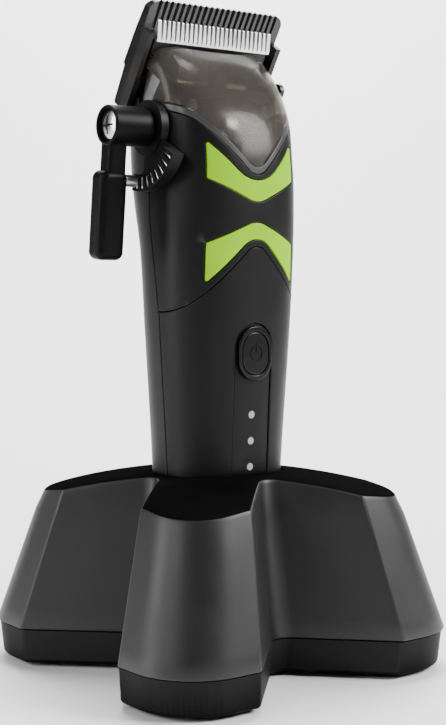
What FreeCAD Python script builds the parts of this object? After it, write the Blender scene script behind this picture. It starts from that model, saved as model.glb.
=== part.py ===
import FreeCAD, Part
import math
import os
from FreeCAD import Placement, Rotation, Vector

# Cordless hair clipper standing in its charging stand. Millimetres, +Z up, front towards -Y.
# The origin is on the surface that the stand rests on, under the middle of the clipper.

# ---------------------------------------------------------------- driving dimensions
BLADE_WIDTH = 46.0
BLADE_TILT = 32.0
TIP_Y = -0.94
TIP_Z = 182.4
BLADE_LENGTH = 31.0
BLADE_PITCH = 1.906
BLADE_TEETH = 21
CUTTER_PITCH = 1.515
CUTTER_TEETH = 26
CUTTER_TIP = 4.4
CUTTER_BASE = 9.7
CUTTER_HALF = 19.6
CUTTER_STROKE = 1.5
TAPER_TRAVEL = 2.3
TAPER_SWING = 45.0

WALL = 1.8
SKIN = 1.0
RECESS = 0.4
SEAM = 0.24
RUN = 0.05
SUPERELLIPSE = 2.5
HEAD_SUPERELLIPSE = 3.6
SQUARING = (140.0, 168.0)
SECTION_POINTS = 16

# height, half width, front y, back y of the clipper's casing
BODY_PROFILE = (
    (18.0, 16.5, -13.5, 15.3),
    (58.0, 18.2, -15.2, 16.1),
    (95.0, 20.5, -17.0, 17.3),
    (116.0, 21.5, -17.7, 18.3),
    (131.0, 21.95, -18.1, 21.6),
    (142.0, 21.8, -17.6, 23.3),
    (152.0, 21.2, -14.9, 22.3),
    (162.0, 20.5, -8.4, 20.2),
    (171.4, 20.0, 1.2, 19.4),
    (181.0, 19.4, 11.5, 22.0),
)
BODY_BOTTOM = BODY_PROFILE[0][0]
SECTION_STEP = 9.0
SECTION_STEPS = 18
SHELL_TOP = 158.4
REAR_RIM_Z = 155.9
BEZEL_END_Y = 1.8
# x, y of the head's face, z of the screws that hold the rear shell, on both sides
CASING_SCREWS = ((11.6, 11.4, 34.0), (8.0, 19.8, 128.0))
CASING_SCREW_LENGTH = 7.7

HUB_Y = 1.0
HUB_Z = 149.0
HUB_RADIUS = 5.4
HUB_OUTER_X = -36.5
HUB_INNER_X = -23.9
DETENT_RADIUS = 14.5
DETENT_X = -25.6
CAM_DISC_X = (-18.95, -18.45)
ARM_X = (-18.2, -16.9)

LID_SCREW_X = 13.2
LID_SCREW_Y = -5.2
LID_SCREW_Z = 155.0
PIVOT_Y = 0.5
PIVOT_Z = 138.0
SIDE_SCREW_Y = -2.0
SIDE_SCREW_Z = 161.7
SIDE_SCREW_RADIUS = 1.5
SIDE_SCREW_HEAD = 2.2
LID_WALL = 1.5
LID_TOP_T = 10.4
BUTTON_Z = 87.75
BUTTON_TRAVEL = 0.8
LIGHT_HEIGHTS = (70.8, 63.55, 56.3)
LIGHT_RADIUS = 1.0
CHARGE_PIN_X = 5.0
CHARGE_PIN_Y = -6.0
SOCKET_Y = 4.5
CELL_RADIUS = 9.0
CELL_Y = 2.6
CELL_Z = (25.0, 89.0)
BOARD_BACK_Y = -9.4
BOARD_FRONT_Y = -10.6
BLADE_SCREW_X = 9.0
BLADE_SCREW_T = 25.0
SHAFT_RADIUS = 2.0
CAM_PIN_RADIUS = 1.2
PLUNGER_RADIUS = 1.7

STAND_HALF = 50.6
STAND_SEAM_Z = 10.75
STAND_EDGE_Z = 48.4
STAND_TOP_SCALE = 0.79
STAND_CROWN_Z = 55.07
STAND_CROWN_RADIUS = 187.5
STAND_WALL = 2.5
POCKET_FLOOR = 17.7
POCKET_GAP = 0.45
POCKET_STEPS = 6
LOBE = 35.8
FOOT_RADII = (7.1, 5.1)
STAND_SCREW_RADIUS = 1.5

X_AXIS = Vector(1, 0, 0)
Y_AXIS = Vector(0, 1, 0)
Z_AXIS = Vector(0, 0, 1)
FAR = 60.0

# The head's own frame: x across, t from the tooth tips down the blade, w out of its skin side.
HEAD = Placement(Vector(0, TIP_Y, TIP_Z), Rotation(X_AXIS, BLADE_TILT - 90))
BLADE_DOWN = HEAD.Rotation.multVec(Y_AXIS)
BLADE_OUT = HEAD.Rotation.multVec(Z_AXIS)


# ---------------------------------------------------------------- helpers
def save(node, *shapes):
    solids = [s for shape in shapes for s in shape.Solids]
    group = solids[0] if len(solids) == 1 else Part.makeCompound(solids)
    group.exportStep(f"parts/{node}.step")


def box(x, y, z):
    """A block from three (low, high) spans."""
    size = [b - a for a, b in (x, y, z)]
    return Part.makeBox(*size, Vector(x[0], y[0], z[0]))


def rod(radius, start, end):
    a = Vector(*start)
    b = Vector(*end)
    return Part.makeCylinder(radius, (b - a).Length, a, b - a)


def tube(radius, bore, start, end):
    return rod(radius, start, end).cut(rod(bore, start, end))


def coil(radius, wire, turns, base, height):
    """A compression spring standing on base, along +Z, of eight-sided wire."""
    path = Part.makeHelix(height / turns, height, radius)
    corners = []
    for i in range(9):
        angle = math.radians(45 * i)
        corners.append(Vector(radius + wire / 2 * math.cos(angle), 0, wire / 2 * math.sin(angle)))
    ring = Part.makePolygon(corners)
    spring = Part.Wire(path).makePipeShell([ring], True, True)
    spring.translate(base)
    return spring


def join(first, *others):
    return first.multiFuse(list(others)).removeSplitter()


def largest(shape):
    return max(shape.Solids, key=lambda s: s.Volume)


def mirrored(shape):
    return shape.mirror(Vector(0, 0, 0), X_AXIS)


def in_head(shape):
    """Moves a shape drawn in the head's frame to its place."""
    moved = shape.copy()
    moved.Placement = HEAD.multiply(moved.Placement)
    return moved


def outline(corners, place):
    """A closed wire of straight sides whose corners (u, v, radius) are rounded by tangent arcs."""
    edges = []
    last = None
    first = None
    count = len(corners)
    for i, (u, v, radius) in enumerate(corners):
        here = Vector(u, v, 0)
        before = Vector(*corners[i - 1][:2], 0) - here
        after = Vector(*corners[(i + 1) % count][:2], 0) - here
        before.normalize()
        after.normalize()
        if radius > 0:
            half = before.getAngle(after) / 2
            reach = radius / math.tan(half)
            start = here + before * reach
            end = here + after * reach
            inward = (before + after).normalize()
            middle = here + inward * (radius / math.sin(half) - radius)
            arc = Part.Arc(place(start), place(middle), place(end)).toShape()
        else:
            start = here
            end = here
            arc = None
        if last is not None:
            edges.append(Part.LineSegment(place(last), place(start)).toShape())
        if arc is not None:
            edges.append(arc)
        first = start if first is None else first
        last = end
    edges.append(Part.LineSegment(place(last), place(first)).toShape())
    return Part.Wire(edges)


def plate_xz(corners, y_low, y_high):
    """A plate drawn in X and Z, between two values of Y."""
    wire = outline(corners, lambda p: Vector(p.x, y_low, p.y))
    return Part.Face(wire).extrude(Vector(0, y_high - y_low, 0))


def plate_yz(corners, x_low, x_high):
    """A plate drawn in Y and Z, between two values of X."""
    wire = outline(corners, lambda p: Vector(x_low, p.x, p.y))
    return Part.Face(wire).extrude(Vector(x_high - x_low, 0, 0))


def plate_xy(corners, z_low, z_high):
    """A plate drawn in X and Y, between two values of Z."""
    wire = outline(corners, lambda p: Vector(p.x, p.y, z_low))
    return Part.Face(wire).extrude(Vector(0, 0, z_high - z_low))


def symmetric(half):
    """Corners given for x >= 0, top to bottom, completed with their mirror images."""
    other = [(-u, v, r) for u, v, r in reversed(half) if u > 0]
    return list(half) + other


def slot_xz(width, height, centre_z, y_low, y_high):
    """An upright obround plate."""
    w = width / 2
    h = height / 2
    corner = w * 0.999
    corners = [(w, centre_z + h, corner), (w, centre_z - h, corner)]
    return plate_xz(symmetric(corners), y_low, y_high)


def body_size(z):
    """Half width, front y and back y at a height, on a smooth curve through the profile's rows."""
    rows = BODY_PROFILE
    k = max(i for i in range(len(rows) - 1) if rows[i][0] <= z)

    def slope(i, column):
        a = rows[max(i - 1, 0)]
        b = rows[min(i + 1, len(rows) - 1)]
        return (b[column] - a[column]) / (b[0] - a[0])

    span = rows[k + 1][0] - rows[k][0]
    t = (z - rows[k][0]) / span
    sizes = []
    for column in (1, 2, 3):
        start = rows[k][column]
        end = rows[k + 1][column]
        rise = slope(k, column) * span * (t**3 - 2 * t**2 + t) + slope(k + 1, column) * span * (t**3 - t**2)
        sizes.append(start + (end - start) * (3 * t**2 - 2 * t**3) + rise)
    return sizes


def section_power(z):
    """The superellipse's power: the head is squarer than the handle."""
    share = min(max((z - SQUARING[0]) / (SQUARING[1] - SQUARING[0]), 0), 1)
    return SUPERELLIPSE + (HEAD_SUPERELLIPSE - SUPERELLIPSE) * share * share * (3 - 2 * share)


def body_section(z, size, inset):
    """A closed superellipse across the casing at one height."""
    half, front, back = size
    power = 2 / section_power(z)
    middle = (front + back) / 2
    a = half - inset
    b = (back - front) / 2 - inset
    points = []
    for i in range(SECTION_POINTS):
        angle = 2 * math.pi * i / SECTION_POINTS
        c = math.cos(angle)
        s = math.sin(angle)
        x = math.copysign(abs(c) ** power, c) * a
        y = math.copysign(abs(s) ** power, s) * b
        points.append(Vector(x, middle + y, z))
    curve = Part.BSplineCurve()
    curve.interpolate(points, PeriodicFlag=True)
    return Part.Wire(curve.toShape())


def body_loft(inset, bottom=BODY_BOTTOM, steps=SECTION_STEPS):
    """The casing's outer form, drawn in by inset, from the height bottom up."""
    wires = [body_section(bottom, body_size(BODY_BOTTOM), inset)]
    for i in range(1, steps + 1):
        z = BODY_BOTTOM + i * SECTION_STEP
        wires.append(body_section(z, body_size(z), inset))
    return Part.makeLoft(wires, True, False)


# ---------------------------------------------------------------- seams of the casing
def both_sides(curve, shift):
    """A seam's corners from its right end to its left end, all moved up by shift."""
    right = [(u, v + shift, r) for u, v, r in reversed(curve)]
    left = [(-u, v + shift, r) for u, v, r in curve if u > 0]
    return right + left


def above(curve, shift=0.0):
    """Everything above a mirror-symmetric seam curve in X and Z, through the full depth."""
    return plate_xz([(FAR, 250, 0), *both_sides(curve, shift), (-FAR, 250, 0)], -FAR, FAR)


def below(curve, shift=0.0):
    return plate_xz([(FAR, -10, 0), *both_sides(curve, shift), (-FAR, -10, 0)], -FAR, FAR)


LID_SEAM = ((0, 136.8, 4.0), (16.4, 153.2, 8.0), (21.6, 156.0, 3.0), (FAR, 156.0, 0))
BEZEL_SEAM = ((0, 134.9, 4.2), (16.8, 151.2, 8.0), (21.6, 154.1, 3.0), (FAR, 154.1, 0))
COVER_SEAM = ((0, 118.5, 4.5), (18.2, 100.9, 6.0), (21.5, 98.4, 3.0), (FAR, 98.4, 0))


def behind_seam(shift):
    """Everything behind the joint that runs up both flanks of the casing."""
    line = ((-0.6, -10, 0), (-0.6, 98, 20), (2.0, 124, 20), (2.0, 250, 0))
    moved = [(y + shift, z, r) for y, z, r in line]
    return plate_yz([*moved, (FAR, 250, 0), (FAR, -10, 0)], -FAR, FAR)


def ahead_of_seam(shift):
    line = ((-0.6, -10, 0), (-0.6, 98, 20), (2.0, 124, 20), (2.0, 250, 0))
    moved = [(y + shift, z, r) for y, z, r in line]
    return plate_yz([*moved, (-FAR, 250, 0), (-FAR, -10, 0)], -FAR, FAR)


UPPER_ACCENT = symmetric([(0, 131.4, 9.0), (14.6, 145.3, 0.5), (14.85, 135.0, 0.5), (0, 128.3, 7.0)])
LOWER_ACCENT = symmetric([(0, 124.0, 7.0), (15.0, 117.8, 0.5), (15.1, 106.7, 0.5), (0, 121.1, 6.0)])


def strip_outline(half, low, top):
    return symmetric([(half, top, half * 0.999), (half, low, 0)])


# ---------------------------------------------------------------- clipper casing
def make_casing():
    outer = body_loft(0)
    inner = body_loft(WALL, BODY_BOTTOM + WALL)
    skin = body_loft(SKIN, BODY_BOTTOM + SKIN)
    recess = body_loft(RECESS, BODY_BOTTOM - 1)
    wall = outer.cut(inner)

    head_space = in_head(box((-FAR, FAR), (-30, BLADE_LENGTH + TAPER_TRAVEL + 0.9), (-2.6, 60)))
    shaft_hole = rod(SHAFT_RADIUS + 1.2, (-30, HUB_Y, HUB_Z), (-10, HUB_Y, HUB_Z))
    cam_room = rod(4.8, (CAM_DISC_X[0] - 0.35, HUB_Y, HUB_Z), (-10, HUB_Y, HUB_Z))
    arm_room = in_head(box((ARM_X[0] - 0.45, -16), (20, 31.9), (-8.5, -2.5)))
    screw_line = ((10, SIDE_SCREW_Y, SIDE_SCREW_Z), (30, SIDE_SCREW_Y, SIDE_SCREW_Z))
    side_screw_hole = rod(SIDE_SCREW_HEAD + 0.35, *screw_line)

    rear = wall.common(behind_seam(SEAM / 2))
    rear = rear.common(below(((0, SHELL_TOP, 0), (FAR, SHELL_TOP, 0))))
    front_lip = box((-FAR, FAR), (-FAR, 9), (REAR_RIM_Z, 250))
    rear = rear.cut(head_space).cut(front_lip).cut(shaft_hole).cut(cam_room).cut(arm_room)
    socket_hole = plate_xy(obround_xy(10.2, 4.4, SOCKET_Y), BODY_BOTTOM - 1, BODY_BOTTOM + 4)
    contact_holes = [
        rod(1.9, (x, CHARGE_PIN_Y, BODY_BOTTOM - 1), (x, CHARGE_PIN_Y, BODY_BOTTOM + 4))
        for x in (-CHARGE_PIN_X, CHARGE_PIN_X)
    ]
    for x, y, z in CASING_SCREWS:
        for side in (-1, 1):
            boss = rod(3.4, (side * x, y - 3.2, z), (side * x, y + 5, z)).common(outer)
            rear = rear.fuse(boss)
            rear = rear.cut(rod(2.3, (side * x, y - 1.2, z), (side * x, y + 9, z)))
            rear = rear.cut(rod(1.15, (side * x, y - CASING_SCREW_LENGTH, z), (side * x, y, z)))
    rear = rear.cut(socket_hole)
    save("rear_shell", rear)

    front = wall.common(ahead_of_seam(-SEAM / 2))
    accents = [plate_xz(corners, -FAR, 0).common(outer.cut(skin)) for corners in (UPPER_ACCENT, LOWER_ACCENT)]
    upper = front.common(above(COVER_SEAM, SEAM)).common(below(BEZEL_SEAM, -SEAM))
    upper = upper.cut(Part.makeCompound(accents)).cut(shaft_hole).cut(cam_room)
    save("front_shell", upper)
    save("upper_accent", accents[0])
    save("lower_accent", accents[1])

    lower = front.common(below(COVER_SEAM))
    strip_pocket = plate_xz(strip_outline(6.35, BODY_BOTTOM - 2, BUTTON_Z + 8.3), -FAR, 0)
    lower = lower.cut(strip_pocket.common(outer.cut(skin)))
    button_hole = slot_xz(11.5, 15.0, BUTTON_Z, -FAR, 0)
    lights = [rod(LIGHT_RADIUS + 0.05, (0, -FAR, z), (0, 0, z)) for z in LIGHT_HEIGHTS]
    lower = lower.cut(button_hole).cut(Part.makeCompound(lights))
    lower = lower.cut(Part.makeCompound(contact_holes))
    save("lower_cover", lower)

    strip_prism = plate_xz(strip_outline(6.2, BODY_BOTTOM + 3, BUTTON_Z + 8.15), -FAR, 0)
    strip = strip_prism.common(recess.cut(skin))
    strip = strip.cut(button_hole).cut(Part.makeCompound(lights))
    save("control_strip", strip)

    light_set = [rod(LIGHT_RADIUS, (0, -FAR, z), (0, -12.6, z)).common(recess) for z in LIGHT_HEIGHTS]
    save("status_lights", *light_set)

    bezel = wall.common(above(BEZEL_SEAM)).common(below(LID_SEAM))
    bezel_back = box((-FAR, FAR), (BEZEL_END_Y, FAR), (100, 250))
    bezel = bezel.cut(bezel_back).cut(cam_room)
    save("lid_bezel", bezel)

    lid = outer.cut(body_loft(LID_WALL, BODY_BOTTOM + WALL)).common(above(LID_SEAM, SEAM))
    lid_room = in_head(box((-FAR, FAR), (LID_TOP_T, 60), (-FAR, -2.4)))
    lid = lid.common(lid_room)
    notch = plate_yz(
        [(7.4, 167.6, 0), (6.4, 166.3, 0.5), (-0.6, 161.8, 0.8), (3.1, 156.1, 0.5), (5, 150, 0), (20, 150, 0)],
        -FAR,
        FAR,
    )
    lid = lid.cut(notch).cut(side_screw_hole)
    corner_cut = in_head(
        box((18.2, FAR), (0, 12.2), (-FAR, FAR)).cut(rod(1.8, (18.2, 12.2, -FAR), (18.2, 12.2, FAR)))
    )
    lid = lid.cut(corner_cut).cut(mirrored(corner_cut))
    save("lid", largest(lid))


def obround_xy(length, width, y):
    r = width / 2 * 0.999
    a = length / 2
    b = width / 2
    return [(a, y - b, r), (a, y + b, r), (-a, y + b, r), (-a, y - b, r)]


# ---------------------------------------------------------------- blades and head
def make_blades():
    profile = [
        (-0.7, 0.0, 0),
        (-0.7, 1.3, 0.4),
        (1.6, 2.6, 2.0),
        (9.0, 3.5, 14.0),
        (19.4, 4.1, 0.2),
        (19.9, 3.3, 0.2),
        (BLADE_LENGTH, 2.8, 1.0),
        (BLADE_LENGTH, 0.0, 0),
    ]
    blade = plate_yz(profile, -BLADE_WIDTH / 2, BLADE_WIDTH / 2)
    slots = []
    for i in range(BLADE_TEETH + 1):
        x = (i - BLADE_TEETH / 2) * BLADE_PITCH
        gap = [(x - 0.62, -2, 0), (x + 0.62, -2, 0), (x + 0.36, 7.6, 0.3), (x - 0.36, 7.6, 0.3)]
        slots.append(plate_xy(gap, -1, 6))
    blade = blade.cut(Part.makeCompound(slots))
    corner = 3.0
    for side in (-1, 1):
        x = side * BLADE_WIDTH / 2
        square = box(sorted((x - side * corner, x)), (-0.7, -0.7 + corner), (-1, 6))
        round_off = rod(corner, (x - side * corner, corner - 0.7, -1), (x - side * corner, corner - 0.7, 6))
        blade = blade.cut(square.cut(round_off))
    screw_xs = (-BLADE_SCREW_X, BLADE_SCREW_X)
    screw_holes = [rod(1.55, (x, BLADE_SCREW_T, -1), (x, BLADE_SCREW_T, 6)) for x in screw_xs]
    blade = blade.cut(Part.makeCompound(screw_holes))
    save("fixed_blade", in_head(blade))

    face = -RUN
    cutter_profile = [
        (CUTTER_TIP, face, 0),
        (CUTTER_TIP, -0.9, 0.3),
        (CUTTER_BASE - 1.2, -2.9, 0.6),
        (CUTTER_BASE, -3.0, 0),
        (CUTTER_BASE, face, 0),
    ]
    cutter = plate_yz(cutter_profile, -CUTTER_HALF, CUTTER_HALF)
    gaps = []
    for i in range(CUTTER_TEETH - 1):
        x = (i + 1 - CUTTER_TEETH / 2) * CUTTER_PITCH
        gap = [(x - 0.55, 3, 0), (x + 0.55, 3, 0), (x + 0.2, 9.2, 0.15), (x - 0.2, 9.2, 0.15)]
        gaps.append(plate_xy(gap, -6, 1))
    cutter = cutter.cut(Part.makeCompound(gaps))
    save("cutter_blade", in_head(cutter))

    holder = box((-CUTTER_HALF, CUTTER_HALF), (CUTTER_BASE, 17.0), (-2.0, face))
    shoe = box((-6, 6), (12.0, 18.0), (-4.6, -2.0))
    drive_slot = box((-1.15, 1.15), (13.0, 17.0), (-FAR, -0.9))
    holder = join(holder, shoe).cut(drive_slot)
    save("cutter_holder", in_head(holder))

    # The carrier holds the blade by its lower half and reaches forward to the lever's cam.
    rails = []
    for side in (-1, 1):
        edge = side * BLADE_WIDTH / 2
        inner_edge = side * 21.45
        span = sorted((edge, inner_edge))
        rails.append(box(span, (7.6, BLADE_LENGTH), (-3.6, 0)))
    bridge = box((-BLADE_WIDTH / 2, BLADE_WIDTH / 2), (21.0, BLADE_LENGTH), (-2.0, 0))
    arm = join(box(ARM_X, (24.6, BLADE_LENGTH + 1.4), (-15.6, -8)), box(ARM_X, (24.6, 29.0), (-8, 0)))
    arm_root = box((ARM_X[0], -12.0), (26.0, 29.0), (-4.0, 0))
    bridge_bores = [rod(1.2, (x, BLADE_SCREW_T, -FAR), (x, BLADE_SCREW_T, FAR)) for x in screw_xs]
    slot_along = (CAM_T - CAM_PIN_RADIUS - 0.15, CAM_T + CAM_PIN_RADIUS + 0.27)
    cam_slot = box((-30, 0), slot_along, (CAM_W - 2.2, CAM_W + 1.5))
    carrier = join(bridge, *rails, arm, arm_root).cut(cam_slot)
    carrier = carrier.cut(Part.makeCompound(bridge_bores))
    save("blade_carrier", in_head(carrier))

    screws = []
    for x in screw_xs:
        t = BLADE_SCREW_T
        shank = rod(1.2, (x, t, -2.0), (x, t, 3.25))
        head = rod(2.6, (x, t, 3.25), (x, t, 4.3))
        slot_across = box((x - 1.4, x + 1.4), (t - 0.3, t + 0.3), (3.8, 5))
        slot_along = box((x - 0.3, x + 0.3), (t - 1.4, t + 1.4), (3.8, 5))
        cross = join(slot_across, slot_along)
        screws.append(join(shank, head).cut(cross))
    save("blade_screws", *[in_head(s) for s in screws])


# The lever's cam: a pin off the hub axis, standing square to the blade's travel at mid swing.
CAM_THROW = TAPER_TRAVEL / (2 * math.sin(math.radians(TAPER_SWING / 2)))
HUB_IN_HEAD = HEAD.inverse().multVec(Vector(0, HUB_Y, HUB_Z))
CAM_T = HUB_IN_HEAD.y - CAM_THROW * math.sin(math.radians(TAPER_SWING / 2))
CAM_W = HUB_IN_HEAD.z + CAM_THROW * math.cos(math.radians(TAPER_SWING / 2))


def make_head_frame():
    plate = plate_yz(
        [(6.1, 165.6, 0.4), (-0.1, 161.75, 0.6), (3.4, 156.4, 0.4), (8.1, 156.4, 0.5), (8.6, 158.4, 0.5)],
        -19.35,
        -18.75,
    )
    screw_gap = rod(SIDE_SCREW_RADIUS + 0.2, (10, SIDE_SCREW_Y, SIDE_SCREW_Z), (30, SIDE_SCREW_Y, SIDE_SCREW_Z))
    save("side_plates", plate, mirrored(plate).cut(screw_gap))

    # The chassis is an open frame inside the lid: two cheeks, a floor and the lid's bosses.
    cheek = plate_yz(
        [
            (4.6, 164.8, 1),
            (-4.4, 160.2, 1),
            (-6.4, 148.0, 1),
            (-6.4, 133.0, 1),
            (9.0, 133.0, 1),
            (10.2, 155.9, 1),
        ],
        -16.6,
        -14.9,
    )
    deck = box((-16.0, 16.0), (-6.4, -4.9), (131.0, 147.5))
    bosses = []
    for side in (-1, 1):
        x = side * LID_SCREW_X
        bosses.append(rod(3.0, (x, -9.6, LID_SCREW_Z), (x, -2.0, LID_SCREW_Z)))
    post = rod(2.0, (0, -13.2, 143.6), (0, -5.5, 143.6))
    top_bar = box((-16.0, 16.0), (-5.6, -3.8), (157.6, 160.2))
    window = box((-8, 8), (-8, -3), (142.6, 146.0))
    frame = join(cheek, mirrored(cheek), deck, *bosses, post, top_bar).cut(window)
    bores = []
    for side in (-1, 1):
        x = side * LID_SCREW_X
        bores.append(rod(1.0, (x, -12, LID_SCREW_Z), (x, -2.6, LID_SCREW_Z)))
        bores.append(rod(3.2, (x, -12, LID_SCREW_Z), (x, LID_SCREW_Y, LID_SCREW_Z)))
    frame = frame.cut(Part.makeCompound(bores))
    pivot_bore = rod(1.5, (0, -10, PIVOT_Z), (0, 10, PIVOT_Z))
    bridge = box((-15.5, 15.5), (6.6, 8.4), (133.0, 142.5))
    frame = join(frame, bridge).cut(pivot_bore).common(body_loft(WALL + 0.2))
    save("chassis", largest(frame))

    lid_screws = []
    for side in (-1, 1):
        x = side * LID_SCREW_X
        front = LID_SCREW_Y - 1.1
        shank = rod(0.95, (x, LID_SCREW_Y, LID_SCREW_Z), (x, -2.8, LID_SCREW_Z))
        head = rod(1.7, (x, front, LID_SCREW_Z), (x, LID_SCREW_Y, LID_SCREW_Z))
        cross = join(
            box((x - 1.1, x + 1.1), (front - 1, front + 0.5), (LID_SCREW_Z - 0.2, LID_SCREW_Z + 0.2)),
            box((x - 0.2, x + 0.2), (front - 1, front + 0.5), (LID_SCREW_Z - 1.1, LID_SCREW_Z + 1.1)),
        )
        lid_screws.append(join(shank, head).cut(cross))
    save("lid_screws", *lid_screws)

    shank = rod(SIDE_SCREW_RADIUS, (16.7, SIDE_SCREW_Y, SIDE_SCREW_Z), (20.0, SIDE_SCREW_Y, SIDE_SCREW_Z))
    head = rod(SIDE_SCREW_HEAD, (19.5, SIDE_SCREW_Y, SIDE_SCREW_Z), (20.8, SIDE_SCREW_Y, SIDE_SCREW_Z))
    save("side_screw", join(shank, head))

    # A wire spring held by the cheeks presses the cutter on the fixed blade with two fingers.
    fingers = []
    for x in (-9, 9):
        fingers.append(rod(0.5, (x, 20.2, -5.0), (x, 15.4, -2.6)))
        fingers.append(Part.makeSphere(0.5, Vector(x, 15.4, -2.6)))
    cross_wire = rod(0.7, (-14.9, 20.2, -5.0), (14.9, 20.2, -5.0))
    save("tension_spring", in_head(join(cross_wire, *fingers)))


def make_drive():
    """The pivot motor: a wound core, and an armature that rocks about the pivot pin."""
    limbs = [box((x - 2.5, x + 2.5), (-3.5, 4.5), (98, 124)) for x in (-10, 0, 10)]
    yoke = box((-12.5, 12.5), (-3.5, 4.5), (94, 98))
    save("motor_core", join(yoke, *limbs))
    bobbin = box((-6.6, 6.6), (-7.4, 8.4), (99, 119)).cut(box((-2.5, 2.5), (-3.5, 4.5), (90, 130)))
    corners = [e for e in bobbin.Edges if abs(e.Length - 20) < 0.1 and abs(e.BoundBox.XMin) > 5]
    bobbin = bobbin.makeFillet(1.5, corners)
    save("motor_coil", bobbin)
    save("pivot_pin", rod(1.5, (0, -6.2, PIVOT_Z), (0, 8.2, PIVOT_Z)))

    hub = rod(4.4, (0, -2.6, PIVOT_Z), (0, 4.0, PIVOT_Z))
    tail = box((-2.6, 2.6), (-1.6, 3.0), (129.5, PIVOT_Z))
    yoke_bar = box((-12, 12), (-2.6, 3.6), (129.0, 131.4))
    mast = plate_xz([(3.2, PIVOT_Z, 0), (1.7, 166.6, 1.2), (-1.7, 166.6, 1.2), (-3.2, PIVOT_Z, 0)], -1.2, 2.4)
    arm = join(hub, tail, yoke_bar, mast)
    arm = arm.cut(rod(1.55, (0, -10, PIVOT_Z), (0, 10, PIVOT_Z)))
    pin = rod(1.0, (0, 15.0, -8.6), (0, 15.0, -1.3))
    arm = join(arm, in_head(pin))
    save("armature", arm)
    magnets = [box((x - 4.2, x + 4.2), (-2.6, 3.6), (125.6, 129.0)) for x in (-6.6, 6.6)]
    save("armature_magnets", *magnets)


# ---------------------------------------------------------------- taper lever
def around_hub(radius, angle, x):
    """A point on a circle about the hub axis; the angle runs from straight down towards the front."""
    a = math.radians(angle)
    return (x, HUB_Y - radius * math.sin(a), HUB_Z - radius * math.cos(a))


def sector(radius_in, radius_out, start, end, x_low, x_high):
    """Part of a ring about the hub axis."""
    a0, a1 = math.radians(start), math.radians(end)
    mid = (a0 + a1) / 2

    def at(radius, a):
        return Vector(x_low, HUB_Y - radius * math.sin(a), HUB_Z - radius * math.cos(a))

    edges = [
        Part.Arc(at(radius_out, a0), at(radius_out, mid), at(radius_out, a1)).toShape(),
        Part.LineSegment(at(radius_out, a1), at(radius_in, a1)).toShape(),
        Part.Arc(at(radius_in, a1), at(radius_in, mid), at(radius_in, a0)).toShape(),
        Part.LineSegment(at(radius_in, a0), at(radius_out, a0)).toShape(),
    ]
    return Part.Face(Part.Wire(edges)).extrude(Vector(x_high - x_low, 0, 0))


LEVER_LEAN = -6.0


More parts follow.
